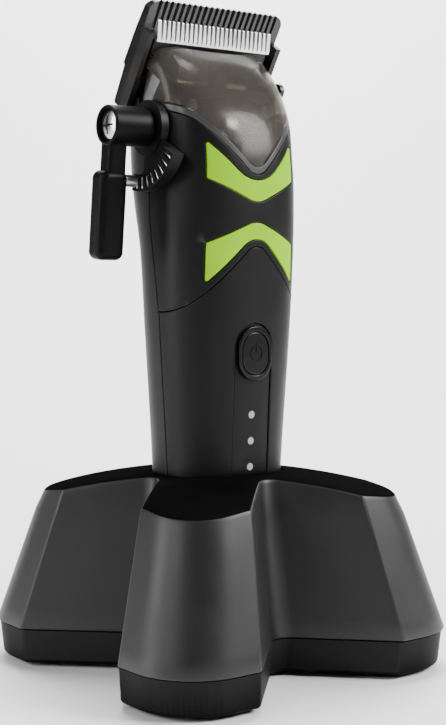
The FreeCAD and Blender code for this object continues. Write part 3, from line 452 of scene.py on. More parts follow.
def panel_mesh(loops, surface, depth, edge=EDGE, spacing=1.4, base_drop=0.0):
    """A closed thin panel over surface.

    loops are functions that give a closed loop moved in by a distance, the outer one counter-clockwise
    and the holes clockwise.
    """
    rings = lip_profile(edge, depth)
    inner = [loop(rings[0][0]) for loop in loops]
    points, tri = filled_region(inner, spacing)
    face_at, face_normal = surface(points, base_drop + rings[0][1])
    verts = [face_at]
    normals = [face_normal]
    faces = [tuple(t) for t in tri]
    total = len(points)
    starts = []
    base = 0
    for loop in inner:
        starts.append(base)
        base += len(loop)
    last_rings = []
    for loop, start in zip(loops, starts):
        before = start
        count = len(loop(0.0))
        for distance, drop, lean in rings[1:]:
            ring = loop(distance)
            at, out = surface(ring, base_drop + drop)
            inner_at, _ = surface(loop(distance + 0.2), base_drop + drop)
            side = at - inner_at
            side -= out * (side * out).sum(axis=1)[:, None]
            side /= np.linalg.norm(side, axis=1)[:, None]
            verts.append(at)
            normals.append(out * math.cos(lean) + side * math.sin(lean))
            faces += ring_faces(total, before, count)
            before = total
            total += count
        last_rings.append((before, count))
    back_at, back_normal = surface(points, base_drop + depth)
    verts.append(back_at)
    normals.append(-back_normal)
    back = total
    faces += [(back + t[2], back + t[1], back + t[0]) for t in tri]
    for (before, count), start in zip(last_rings, starts):
        faces += ring_faces(back + start, before, count)
    return np.vstack(verts), faces, np.vstack(normals)


def fixed(points):
    """A loop function from plain points."""
    points = np.asarray(points)
    return lambda distance: moved_in(points, distance) if distance else points


def by_corners(corners, to_chart=None, step=1.2, offset=0.0):
    """A loop function from rounded corners."""
    def loop(distance):
        flat = rounded(corners, offset=distance + offset, step=step)
        return to_chart(flat) if to_chart else flat
    return loop


def reverse(loop):
    """The loop function of a hole: the same loop, run the other way."""
    return lambda distance: loop(-distance)[::-1]


# ---------------- seams of the casing
# (x, z, radius) across the front's right half, and (y, z, radius) up the flank
LID_SEAM = ((0, 136.8, 4.0), (16.4, 153.2, 8.0), (21.6, 156.0, 3.0), (FAR, 156.0, 0))
BEZEL_SEAM = ((0, 134.9, 4.2), (16.8, 151.2, 8.0), (21.6, 154.1, 3.0), (FAR, 154.1, 0))
COVER_SEAM = ((0, 118.5, 4.5), (18.2, 100.9, 6.0), (21.5, 98.4, 3.0), (FAR, 98.4, 0))
SIDE_SEAM = ((-0.6, 10, 0), (-0.6, 98, 20), (2.0, 124, 20), (2.0, 250, 0))


def seam_height(seam):
    """The seam's height as a function of x."""
    left = [(-u, v, r) for u, v, r in seam[:0:-1]]
    line = rounded(left + list(seam), closed=False, arc_steps=16, step=2.0)
    return lambda x: np.interp(x, line[:, 0], line[:, 1])


def side_seam(z, shift=0.0):
    """The side seam's y at a height."""
    line = rounded([(v, u, r) for u, v, r in SIDE_SEAM], closed=False, arc_steps=16, step=2.0)
    return np.interp(z, line[:, 0], line[:, 1]) + shift


def flank_girth(z, shift=0.0):
    """Girth of the side seam at a height."""
    return girth_at_y(side_seam(z, shift), np.asarray(z, float))


def across(seam, shift, reach, count=120):
    """A seam as chart points, from its left end to its right one; reach gives its ends' girth by height."""
    height = seam_height(seam)
    share = np.linspace(-1, 1, count + 1)
    z = np.full(len(share), seam[-1][1], float)
    for _ in range(40):
        q = share * reach(z)
        x = casing_point(np.stack((q, z), axis=1))[:, 0]
        z = z + 0.5 * (height(x) + shift - z)
    return np.stack((share * reach(z), z), axis=1)


def up_the_flank(low, high, shift=0.0, side=1, step=1.4):
    """The side seam as chart points, without its ends, going up on the right."""
    count = max(int((high - low) / step), 2)
    z = np.linspace(low, high, count + 1)[1:-1]
    return np.stack((side * flank_girth(z, shift), z), axis=1)


# ---------------- materials
# the noise's usual range, and the pointiness over which an edge turns paler, partly as rubbing and partly as a
# painted edge highlight
NOISE_LOW = 0.3
NOISE_HIGH = 0.7
WEAR_AND_HIGHLIGHT_RANGE = (0.52, 0.62)


def grey(value):
    """A neutral colour."""
    return (value, value, value)


def join(material, source, target):
    """Links two sockets."""
    material.node_tree.links.new(source, target)


def graph(name):
    """A new node material with its principled shader."""
    material = bpy.data.materials.new(name)
    material.use_nodes = True
    nodes = material.node_tree.nodes
    nodes.clear()
    shader = nodes.new("ShaderNodeBsdfPrincipled")
    output = nodes.new("ShaderNodeOutputMaterial")
    join(material, shader.outputs[0], output.inputs[0])
    return material, shader


def add(material, kind, inputs=None, **settings):
    """A node of that kind, with its input values and links."""
    node = material.node_tree.nodes.new("ShaderNode" + kind)
    for key, value in settings.items():
        setattr(node, key, value)
    for key, value in (inputs or {}).items():
        if isinstance(value, bpy.types.NodeSocket):
            join(material, value, node.inputs[key])
        else:
            node.inputs[key].default_value = value
    return node


def noise(material, scale, detail=3.0, stretch=(1, 1, 1)):
    """Noise, from about 0.3 to 0.7, in the object's own space; scale is in features per metre."""
    where = add(material, "TexCoord").outputs["Object"]
    mapped = add(material, "Mapping", {"Vector": where, "Scale": stretch}).outputs[0]
    return add(material, "TexNoise", {"Vector": mapped, "Scale": scale, "Detail": detail}).outputs["Fac"]


def spread(material, factor, low, high, start=NOISE_LOW, end=NOISE_HIGH):
    """A value from low to high as factor goes from start to end."""
    limits = {"From Min": start, "From Max": end, "To Min": low, "To Max": high}
    return add(material, "MapRange", {"Value": factor, **limits}).outputs[0]


def tones(material, factor, dark, light):
    """A colour from dark to light over the noise's range."""
    ramp = add(material, "ValToRGB", {"Fac": factor})
    for element, position, colour in zip(ramp.color_ramp.elements, (NOISE_LOW, NOISE_HIGH), (dark, light)):
        element.position = position
        element.color = (*colour, 1)
    return ramp.outputs[0]


def edge_wear_and_highlight(material, colour, edge_colour):
    """The colour, turning to edge_colour along the outer edges; this stands for rubbed edges and a painted edge
    highlight.
    """
    edge = add(material, "NewGeometry").outputs["Pointiness"]
    amount = spread(material, edge, 0.0, 1.0, *WEAR_AND_HIGHLIGHT_RANGE)
    mix = add(material, "Mix", {"Factor": amount}, data_type="RGBA")
    join(material, colour, mix.inputs["A"])
    mix.inputs["B"].default_value = (*edge_colour, 1)
    return mix.outputs["Result"]


def bumped(material, shader, height, strength, distance):
    """Gives the shader a bump from the height."""
    bump = add(material, "Bump", {"Height": height, "Strength": strength, "Distance": distance})
    join(material, bump.outputs[0], shader.inputs["Normal"])


def plastic(name, dark, light, roughness, grain=4500, grain_height=0.00002, wear_and_highlight=None, specular=0.3):
    """Moulded plastic: fine grain, slightly uneven gloss and, if asked, paler edges that are partly rubbing and
    partly a painted edge highlight.
    """
    material, shader = graph(name)
    fine = noise(material, grain, 2.0)
    broad = noise(material, 60, 4.0)
    colour = tones(material, broad, dark, light)
    if wear_and_highlight:
        colour = edge_wear_and_highlight(material, colour, wear_and_highlight)
    join(material, colour, shader.inputs["Base Color"])
    join(material, spread(material, broad, *roughness), shader.inputs["Roughness"])
    bumped(material, shader, fine, 0.5, grain_height)
    shader.inputs["Specular IOR Level"].default_value = specular
    return material


def metal(name, dark, light, roughness, brush=(1, 1, 1), scale=2500, wear_and_highlight=None):
    """Metal with a brushed or ground finish along the axis whose stretch is smallest."""
    material, shader = graph(name)
    lines = noise(material, scale, 3.0, brush)
    broad = noise(material, 90, 3.0)
    colour = tones(material, lines, dark, light)
    # paler edges, if asked: partly rubbing, partly a painted edge highlight
    if wear_and_highlight:
        colour = edge_wear_and_highlight(material, colour, wear_and_highlight)
    join(material, colour, shader.inputs["Base Color"])
    join(material, spread(material, broad, *roughness), shader.inputs["Roughness"])
    bumped(material, shader, lines, 0.4, 0.000008)
    shader.inputs["Metallic"].default_value = 1.0
    return material


def smoked(name):
    """Clear plastic tinted brown-grey, with a faint haze."""
    material, shader = graph(name)
    broad = noise(material, 45, 3.0)
    colour = tones(material, broad, (0.23, 0.21, 0.18), (0.29, 0.265, 0.23))
    join(material, colour, shader.inputs["Base Color"])
    join(material, spread(material, broad, 0.14, 0.20), shader.inputs["Roughness"])
    bumped(material, shader, noise(material, 110, 1.0), 0.1, 0.00002)
    shader.inputs["Transmission Weight"].default_value = 0.86
    shader.inputs["IOR"].default_value = 1.18
    return material


# the edge colours given below make the edges paler: partly rubbing, partly a painted edge highlight
CHARCOAL = plastic(
    "charcoal", (0.0045, 0.0045, 0.0047), (0.0062, 0.0062, 0.0064), (0.38, 0.46), wear_and_highlight=(0.03, 0.03, 0.031),
    specular=0.15,
)
REAR_CHARCOAL = plastic(
    "rear_charcoal", (0.005, 0.005, 0.0052), (0.007, 0.007, 0.0072), (0.40, 0.48), wear_and_highlight=grey(0.02), specular=0.18
)
STRIP = plastic("strip_black", grey(0.003), grey(0.0045), (0.30, 0.38), specular=0.15)
BEZEL = plastic("bezel_grey", (0.035, 0.035, 0.036), (0.05, 0.05, 0.051), (0.28, 0.36), wear_and_highlight=grey(0.12))
GLOSS_BLACK = plastic(
    "gloss_black", grey(0.002), grey(0.004), (0.22, 0.3), grain_height=0.000004, specular=0.25
)
STAND_SIDE = plastic(
    "stand_side", (0.0045, 0.0045, 0.0046), (0.007, 0.007, 0.0071), (0.42, 0.52), grain=3000, wear_and_highlight=grey(0.05),
    specular=0.45,
)
STAND_TOP = plastic(
    "stand_top", grey(0.003), grey(0.0045), (0.30, 0.38), grain_height=0.000006, specular=0.0
)
STAND_BASE = plastic(
    "stand_base", grey(0.002), grey(0.0032), (0.45, 0.55), grain=3000, wear_and_highlight=grey(0.02), specular=0.04
)
LEVER = plastic("lever_black", grey(0.0018), grey(0.003), (0.38, 0.46), wear_and_highlight=grey(0.03), specular=0.08)
FRAME_BLACK = plastic("frame_black", (0.010, 0.009, 0.008), (0.02, 0.018, 0.016), (0.35, 0.5))
ACCENT_GREEN = plastic(
    "accent_green", (0.215, 0.49, 0.0), (0.27, 0.57, 0.0005), (0.30, 0.38), grain_height=0.000005,
    specular=0.05,
)
TRIM_BLACK = plastic("trim_black", grey(0.0025), grey(0.004), (0.38, 0.46), specular=0.12)
# blackened steel for the side screw; on the lever screw's recess floor the same dark colour is painted shade
DARK_SCREW_AND_RECESS_SHADE = metal("blackened_steel_and_recess_shade", grey(0.03), grey(0.06), (0.3, 0.4))
DIFFUSER = plastic("pale_diffuser", (0.30, 0.31, 0.32), (0.42, 0.43, 0.44), (0.30, 0.4))
BOARD = plastic("circuit_board", (0.01, 0.08, 0.03), (0.02, 0.13, 0.05), (0.3, 0.4))
WRAP = plastic("cell_wrap", (0.02, 0.06, 0.20), (0.03, 0.09, 0.28), (0.25, 0.35))
RUBBER = plastic("rubber", grey(0.01), grey(0.016), (0.7, 0.85), grain=1500)
LID_SMOKE = smoked("lid_smoke")
BLACK_BLADE = metal(
    "black_blade", (0.008, 0.008, 0.009), (0.022, 0.022, 0.023), (0.26, 0.36), (1, 1, 0.05), wear_and_highlight=grey(0.06)
)
BRIGHT_STEEL = metal("ground_steel", (0.78, 0.79, 0.80), (0.92, 0.92, 0.93), (0.36, 0.46), (1, 1, 0.05))
PLATE_STEEL = metal("brushed_steel", (0.35, 0.35, 0.36), (0.55, 0.55, 0.56), (0.28, 0.4), (0.05, 1, 1))
SCREW_STEEL = metal("screw_steel", (0.5, 0.5, 0.51), (0.68, 0.68, 0.69), (0.18, 0.28))
COPPER = metal("copper_wire", (0.50, 0.20, 0.09), (0.72, 0.33, 0.15), (0.25, 0.4), (1, 1, 12), scale=900)
GOLD = metal("gold_contact", (0.65, 0.45, 0.14), (0.80, 0.58, 0.22), (0.2, 0.3))
CORE = metal("laminations", (0.12, 0.12, 0.13), (0.25, 0.25, 0.26), (0.35, 0.5), (1, 30, 1), scale=400)

# the nodes that keep their CAD shape, by material
MATERIAL_NODES = (
    (STAND_BASE, "stand_base"),
    (RUBBER, "stand_feet"),
    (LEVER, "taper_lever"),
    (TRIM_BLACK, "detent_plate"),
    (GLOSS_BLACK, "button_ring power_button"),
    (FRAME_BLACK, "pin_block chassis tact_switch battery_cradle blade_carrier cutter_holder armature"),
    (DIFFUSER, "status_lights light_emitters"),
    (BOARD, "stand_board main_board"),
    (WRAP, "battery_cell"),
    (BLACK_BLADE, "fixed_blade"),
    (BRIGHT_STEEL, "cutter_blade"),
    (DARK_SCREW_AND_RECESS_SHADE, "side_screw"),
    (PLATE_STEEL, "ballast_plate inlet_socket charge_socket side_plates lid_screws casing_screws"),
    (PLATE_STEEL, "detent_plunger armature_magnets"),
    (SCREW_STEEL, "stand_screws blade_screws lever_screw lever_shaft pivot_pin detent_rack"),
    (SCREW_STEEL, "pin_springs tension_spring plunger_spring"),
    (COPPER, "motor_coil"),
    (GOLD, "charge_pins charge_contacts"),
    (CORE, "motor_core"),
)
NODE_MATERIALS = {name: material for material, names in MATERIAL_NODES for name in names.split()}
# widths of the bevels on the nodes with crisp edges
BEVELS = {
    "fixed_blade": 0.15,
    "cutter_blade": 0.07,
    "blade_carrier": 0.2,
    "cutter_holder": 0.15,
    "detent_plate": 0.12,
    "chassis": 0.2,
    "side_plates": 0.1,
    "stand_base": 0.25,
    "side_screw": 0.2,
    "lid_screws": 0.15,
    "blade_screws": 0.15,
}


def dress_nodes():
    """Gives every CAD node its material, and a small bevel to the ones with crisp edges."""
    for name, node in NODES.items():
        node.data.materials.clear()
        node.data.materials.append(NODE_MATERIALS.get(name, CHARCOAL))
        if name in BEVELS:
            bevelled(node, BEVELS[name])


# ---------------- casing panels
def panel(
    name, replaced, material, loops, depth, body="clipper", slot="casing_charcoal", surface=casing, **shape
):
    """A panel as a piece on a body, in place of a CAD node where replaced names one."""
    verts, faces, normals = panel_mesh(loops, surface, depth, **shape)
    piece = new_piece(name, verts, faces, [material], body, normals)
    if replaced:
        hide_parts(replaced)


# the two chevrons: (x, z, radius) of the right half
UPPER_ACCENT = symmetric([(0, 131.4, 9.0), (14.6, 145.3, 0.5), (14.85, 135.0, 0.5), (0, 128.3, 7.0)])
LOWER_ACCENT = symmetric([(0, 124.0, 7.0), (15.0, 117.8, 0.5), (15.1, 106.7, 0.5), (0, 121.1, 6.0)])


def band_loop(low, high, z_low, z_high, shift):
    """A closed chart loop between two lines across the front, closed along both side seams."""
    right = up_the_flank(z_low, z_high, shift, 1)
    left = up_the_flank(z_low, z_high, shift, -1)
    return np.vstack((low, right, high[::-1], left[::-1]))


def make_front_shell():
    """The front cover between the two seams, and the two green inlays in it."""
    def reach(z):
        return flank_girth(z, -SEAM / 2)

    low = across(COVER_SEAM, SEAM, reach)
    high = across(BEZEL_SEAM, -SEAM, reach)
    outer = band_loop(low, high, low[0, 1], high[0, 1], -SEAM / 2)
    holes = [reverse(by_corners(a, in_chart_x, offset=-ACCENT_GAP)) for a in (UPPER_ACCENT, LOWER_ACCENT)]
    panel("front_shell_panel", "front_shell", CHARCOAL, [fixed(outer), *holes], WALL)
    for name, corners in (("upper_accent", UPPER_ACCENT), ("lower_accent", LOWER_ACCENT)):
        loop = by_corners(corners, in_chart_x, offset=ACCENT_GAP)
        panel(name + "_panel", name, ACCENT_GREEN, [loop], ACCENT_THICKNESS, slot="accent_green", edge=0.35)


def strip_corners(half, low, top):
    """Corners of a strip with a round top."""
    return symmetric([(half, top, half * 0.999), (half, low, 0)])


def obround(width, height, centre_z):
    """Corners of an upright shape with round ends."""
    w = width / 2
    h = height / 2
    return symmetric([(w, centre_z + h, w * 0.999), (w, centre_z - h, w * 0.999)])


def circle(radius, u, v, count=32):
    """A loop function of a counter-clockwise circle; moving it in makes it smaller."""
    a = np.arange(count) * 2 * math.pi / count
    return lambda distance: np.stack(
        (u + (radius - distance) * np.cos(a), v + (radius - distance) * np.sin(a)), axis=1
    )


def chart_of(loop, to_chart):
    """A loop function in chart points."""
    return lambda distance: to_chart(loop(distance))


def make_lower_cover():
    """The cover below the lower seam, with its slot, and the control strip in the slot."""
    def reach(z):
        return flank_girth(z, -SEAM / 2)

    high = across(COVER_SEAM, 0.0, reach)
    share = np.linspace(-1, 1, 61)
    z = np.full(len(share), BODY_BOTTOM)
    low = np.stack((share * reach(z), z), axis=1)
    outer = band_loop(low, high, BODY_BOTTOM, high[0, 1], -SEAM / 2)
    slot_corners = strip_corners(STRIP_HALF + STRIP_GAP, STRIP_BOTTOM - STRIP_END_GAP, STRIP_TOP + STRIP_GAP)
    slot = reverse(by_corners(slot_corners, in_chart_x))
    panel("lower_cover_panel", "lower_cover", CHARCOAL, [fixed(outer), slot], WALL)

    outline = by_corners(strip_corners(STRIP_HALF, STRIP_BOTTOM, STRIP_TOP), in_chart_x)
    holes = [reverse(by_corners(obround(*BUTTON_HOLE, BUTTON_Z), in_chart_x))]
    holes += [reverse(chart_of(circle(LIGHT_HOLE, 0, z), in_chart_x)) for z in LIGHT_HEIGHTS]
    panel(
        "control_strip_panel", "control_strip", STRIP, [outline, *holes], STRIP_THICKNESS,
        edge=0.12, spacing=1.2, base_drop=RECESS,
    )


def make_bezel():
    """The V-shaped band between the front shell and the lid."""
    def reach(z):
        return girth_at_y(np.full(np.shape(z), BEZEL_END_Y), z)

    low = across(BEZEL_SEAM, 0.0, reach, 160)
    high = across(LID_SEAM, 0.0, reach, 160)
    outer = np.vstack((low, high[::-1]))
    panel("lid_bezel_band", "lid_bezel", BEZEL, [fixed(outer)], WALL, edge=0.25, spacing=1.0)


def head_plane(t=None, w=None):
    """The height of a plane of the head's frame, as a function of y."""
    if t is not None:
        return lambda y: TIP[2] + ((y - TIP[1]) * BLADE_DOWN[1] - t) / -BLADE_DOWN[2]
    return lambda y: TIP[2] + (w - (y - TIP[1]) * BLADE_OUT[1]) / BLADE_OUT[2]


def level_on_front(x, height_of_y):
    """The height at which the front's point with that x meets a plane given by height_of_y."""
    z = np.full(np.shape(x), 165.0)
    for _ in range(60):
        q = girth_at_x(x, z)
        y = casing_point(np.stack((q, z), axis=1))[:, 1]
        z = z + 0.25 * (height_of_y(y) - z)
    return z


def make_lid():
    """The smoked lid: from the V seam up to the cutter, notched on both flanks for the side plates."""
    def reach(z):
        return girth_at_y(np.full(np.shape(z), LID_EDGE_Y), z)

    low = across(LID_SEAM, SEAM, reach, 140)
    x = np.linspace(LID_HALF_WIDTH, -LID_HALF_WIDTH, 100)
    beside_cutter = level_on_front(x, head_plane(t=LID_TOP_T))
    under_blade = level_on_front(x, head_plane(w=LID_TOP_W))
    top = in_chart_x(np.stack((x, np.minimum(beside_cutter, under_blade)), axis=1))
    # (y, z, radius) up a flank; the right one goes round the side screw
    start = (LID_EDGE_Y, 156.24, 0)
    ends = [(6.35, 166.25, 0.5), (4.4, 169.35, 0)]
    notch = [start, (-0.6, 161.8, 0.8), *ends]
    screw_notch = [
        start, (0.45, 160.2, 0.2), (-0.4, 159.15, 0.6), (-4.55, 159.15, 2.3),
        (-4.55, 164.25, 2.3), (-0.2, 164.25, 0.6), (1.6, 163.2, 0.2), *ends,
    ]
    right = in_chart_y(rounded(screw_notch, closed=False, step=0.8), 1)
    left = in_chart_y(rounded(notch, closed=False, step=0.8), -1)
    outer = np.vstack((low[:-1], right, top, left[::-1][:-1]))
    panel("smoked_lid", "lid", LID_SMOKE, [fixed(outer)], LID_WALL, slot="lid_smoke", edge=0.35, spacing=1.1)


def make_rear_shell():
    """The back half: bottom to the head, open above for the blade carrier."""
    count = 90
    low_end = flank_girth(np.array(BODY_BOTTOM), SEAM / 2)
    bottom_q = np.linspace(float(low_end), 2 * HALF_GIRTH - float(low_end), count)
    bottom = np.stack((bottom_q, np.full(count, BODY_BOTTOM)), axis=1)
    z = np.linspace(BODY_BOTTOM, REAR_RIM_Z, 100)[1:-1]
    near = np.stack((flank_girth(z, SEAM / 2), z), axis=1)
    step_line = [
        (2.12, REAR_RIM_Z, 0), (9.0, REAR_RIM_Z, 0.5), (9.0, SHELL_TOP, 0.6), (11.0, SHELL_TOP, 0.8),
        (15.0, 152.05, 0),
    ]
    side = in_chart_y(rounded(step_line, closed=False, step=0.8))
    plane = head_plane(t=REAR_TOP_T)
    q = np.linspace(side[-1, 0], HALF_GIRTH, 24)[1:]
    z_back = np.full(len(q), 155.0)
    for _ in range(60):
        y = casing_point(np.stack((q, z_back), axis=1))[:, 1]
        z_back = z_back + 0.4 * (plane(y) - z_back)
    top_half = np.vstack((side, np.stack((q, z_back), axis=1)))
    mirror = np.stack((2 * HALF_GIRTH - top_half[:, 0], top_half[:, 1]), axis=1)[::-1][1:]
    top = np.vstack((top_half, mirror))
    far_side = np.stack((2 * HALF_GIRTH - near[:, 0], near[:, 1]), axis=1)
    outer = np.vstack((bottom, far_side, top[::-1], near[::-1]))
    holes = []
    for x_screw, height in CASING_SCREWS:
        half = body_size(np.array([height]))[0, 0]
        q_screw = float(np.interp(math.pi - math.asin((x_screw / half) ** (SUPERELLIPSE / 2)), ANGLE, GIRTH))
        for centre in (q_screw, 2 * HALF_GIRTH - q_screw):
            holes.append(reverse(circle(CASING_SCREW_HOLE, centre, height)))
    panel("rear_shell_panel", "rear_shell", REAR_CHARCOAL, [fixed(outer), *holes], WALL, spacing=1.6)


def flat_down(height):
    """A flat surface facing down; its chart is (x, -y)."""
    def surface(chart, drop=0.0):
        drop = np.broadcast_to(np.asarray(drop, float), (len(chart),))
        place = np.stack((chart[:, 0], -chart[:, 1], height + drop), axis=1)
        return place, np.tile((0.0, 0.0, -1.0), (len(chart), 1))
    return surface


def section_loop(z, inset, count=120):
    """The casing's section drawn in by inset, counter-clockwise seen from above."""
    q = np.linspace(-HALF_GIRTH, HALF_GIRTH, count, endpoint=False)
    place, normal = casing(np.stack((q, np.full(count, z)), axis=1))
    flat = normal[:, :2] / np.linalg.norm(normal[:, :2], axis=1)[:, None]
    return place[:, :2] - flat * inset


def make_bottom():
    """The casing's bottom, with holes for the charge socket and the two contacts."""
    outer = section_loop(BODY_BOTTOM + 1, WALL + 0.1)
    outer = np.stack((outer[:, 0], -outer[:, 1]), axis=1)[::-1]
    socket = by_corners(symmetric([(SOCKET_HALF_WIDTH, -y, SOCKET_CORNER) for y in SOCKET_Y]))
    holes = [reverse(socket)]
    holes += [reverse(circle(CONTACT_HOLE, x, -CHARGE_PINS_Y)) for x in CHARGE_PINS_X]
    surface = flat_down(BODY_BOTTOM)
    loops = [fixed(outer), *holes]
    panel("bottom_plate", None, REAR_CHARCOAL, loops, BOTTOM_THICKNESS, surface=surface, spacing=3.0)


# ---------------- charging stand
def stand_corners():
    """The stand's plan: a square whose four sides are drawn in to deep rounded valleys."""
    quarter = (
        (0, -VALLEY_BOTTOM, VALLEY_RADIUS),
        (VALLEY_MOUTH, -STAND_HALF, ARM_EDGE_RADIUS),
        (STAND_HALF, -STAND_HALF, ARM_CORNER_RADIUS),
        (STAND_HALF, -VALLEY_MOUTH, ARM_EDGE_RADIUS),
    )
    corners = []
    for turn in range(4):
        c = round(math.cos(turn * math.pi / 2))
        s = round(math.sin(turn * math.pi / 2))
        for x, y, r in quarter:
            corners.append((x * c - y * s, x * s + y * c, r))
    return corners


def stand_scale(z):
    """The plan's size at a height, as a share of its size at the seam."""
    return 1 - (1 - STAND_TOP_SCALE) * (z - STAND_SEAM_Z) / (STAND_EDGE_Z - STAND_SEAM_Z)


def stand_loop(z, inset):
    """The stand's outline at a height: the full-size plan's points, scaled, then moved in."""
    scale = stand_scale(z)
    plan = rounded(stand_corners(), offset=inset / scale, arc_steps=12, step=3.0)
    return plan * scale


def crown_height(points, drop):
    """The height of the crowned top, drawn in by drop, over points of the plan."""
    r = STAND_CROWN_RADIUS - drop
    return STAND_CROWN_Z - STAND_CROWN_RADIUS + np.sqrt(r**2 - (points**2).sum(axis=1))


def wall_ring(z, inset):
    """The wall's outline at a height, moved in by inset."""
    flat = stand_loop(z, inset)
    return np.column_stack((flat, np.full(len(flat), z)))


def rim_rings(radius, wall_inset, drop):
    """Rings from the wall over the rounded rim to the crown; each is a (n, 3) array."""
    rings = []
    lean = math.atan((1 - STAND_TOP_SCALE) * STAND_TYPICAL_HALF / (STAND_EDGE_Z - STAND_SEAM_Z))
    for k in range(STAND_RIM_STEPS + 1):
        a = (math.pi / 2 - lean) * k / STAND_RIM_STEPS + lean
        inward = radius * (math.cos(lean) - math.cos(a))
        below = radius * (1 - math.sin(a))
        edge = stand_loop(STAND_EDGE_Z, wall_inset + inward + 0.05)
        top = crown_height(edge, drop)
        rings.append(np.column_stack((edge, top - below)))
    return rings


def make_stand():
    """One closed shell: outer wall, rounded rim, crown, the clipper's pocket, and the hollow inside."""
    verts = []
    faces = []
    kinds = []

    def put(ring):
        start = sum(len(earlier) for earlier in verts)
        verts.append(ring)
        return start

    def bridge(first, second, count, kind, flip=False):
        for quad in ring_faces(first, second, count):
            faces.append(quad[::-1] if flip else quad)
            kinds.append(kind)

    def fill(loops, known, height, kind, flip):
        """Fills a region whose first loop is the ring that known numbers; returns the first new point."""
        points, tri = filled_region(loops, 2.4)
        start = put(np.column_stack((points, height(points)))[len(known):])
        index = np.concatenate((known, start + np.arange(len(points) - len(known))))
        for t in tri:
            face = tuple(int(index[i]) for i in t)
            faces.append(face[::-1] if flip else face)
            kinds.append(kind)
        return start

    count = len(stand_loop(STAND_SEAM_Z, 0))
    side, gloss = 0, 1

    def build(wall_inset, drop, rim, pocket_gap, floor, flip):
        """One skin of the shell; returns the starts of its bottom ring and of its two pin-hole rings."""
        low = put(wall_ring(STAND_SEAM_Z, wall_inset + 0.35))
        first = low
        for z, inset in ((STAND_SEAM_Z + 0.12, wall_inset + 0.12), (STAND_SEAM_Z + 0.4, wall_inset)):
            ring = put(wall_ring(z, inset))
            bridge(low, ring, count, side, flip)
            low = ring
        rim_points = rim_rings(rim, wall_inset, drop)
        top_z = float(rim_points[0][:, 2].min())
        for z in np.linspace(STAND_SEAM_Z + 0.4, top_z, 9)[1:-1]:
            ring = put(wall_ring(z, wall_inset))
            bridge(low, ring, count, side, flip)
            low = ring
        for k, points in enumerate(rim_points):
            ring = put(points)
            bridge(low, ring, count, side if k < STAND_GLOSS_STEP else gloss, flip)
            low = ring
        inner = verts[-1][:, :2]
        mouth = section_loop(POCKET_MOUTH_Z, -pocket_gap - POCKET_LIP)
        known = np.arange(low, low + count)
        low = fill([inner, mouth[::-1]], known, lambda points: crown_height(points, drop), gloss, flip)
        n = len(mouth)
        for k in range(1, POCKET_LIP_STEPS + 1):
            a = math.pi / 2 * k / POCKET_LIP_STEPS
            flat = section_loop(POCKET_MOUTH_Z, -pocket_gap - POCKET_LIP * (1 - math.sin(a)))[::-1]
            ring = put(np.column_stack((flat, crown_height(flat, drop) - POCKET_LIP * (1 - math.cos(a)))))
            bridge(ring, low, n, gloss, flip)
            low = ring
        for z in np.linspace(POCKET_WALL_TOP, floor, 9):
            flat = section_loop(max(z, BODY_BOTTOM), -pocket_gap)[::-1]
            ring = put(np.column_stack((flat, np.full(n, z))))
            bridge(ring, low, n, side, flip)
            low = ring
        pins = [circle(PIN_HOLE, x, CHARGE_PINS_Y, PIN_HOLE_POINTS)(0.0)[::-1] for x in CHARGE_PINS_X]
        border = verts[-1][::-1, :2]
        known = np.arange(low + n - 1, low - 1, -1)
        return first, fill([border, *pins], known, lambda points: np.full(len(points), floor), side, flip)

    outer_low, outer_pins = build(0.0, 0.0, STAND_RIM_RADIUS, POCKET_GAP, POCKET_FLOOR, False)
    inner_low, inner_pins = build(
        STAND_WALL, STAND_WALL, STAND_INNER_RIM_RADIUS, POCKET_GAP + POCKET_WALL,
        POCKET_FLOOR - POCKET_FLOOR_THICKNESS, True,
    )
    bridge(inner_low, outer_low, count, side)
    for k in range(len(CHARGE_PINS_X)):
        start = k * PIN_HOLE_POINTS
        bridge(inner_pins + start, outer_pins + start, PIN_HOLE_POINTS, side)
    shell = new_piece(
        "stand_housing", np.vstack(verts), faces, [STAND_SIDE, STAND_TOP], "stand", indices=kinds
    )
    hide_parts("stand_shell")
    sharpen(shell, 40)


def sharpen(obj, angle):
    """Marks edges sharper than angle, in degrees, so that they shade crisply."""
    mesh = bmesh.new()
    mesh.from_mesh(obj.data)
    limit = math.radians(angle)
    for edge in mesh.edges:
        if len(edge.link_faces) == 2:
            edge.smooth = edge.calc_face_angle(0.0) < limit
    mesh.to_mesh(obj.data)
    mesh.free()


# ---------------- lever trim
def dome(chart, drop=0.0):
    """A shallow ball facing -X over the end of the lever's hub: chart is (-y, z) about the hub axis."""
    radius = HUB_DOME_RADIUS
    rise = np.sqrt(radius**2 - (chart**2).sum(axis=1))
    x = HUB_OUTER_X + 0.2 + radius - rise + drop
    at = np.column_stack((x, HUB_Y - chart[:, 0], HUB_Z + chart[:, 1]))
    normal = np.column_stack((-rise, -chart[:, 0], chart[:, 1])) / radius
    return at, normal


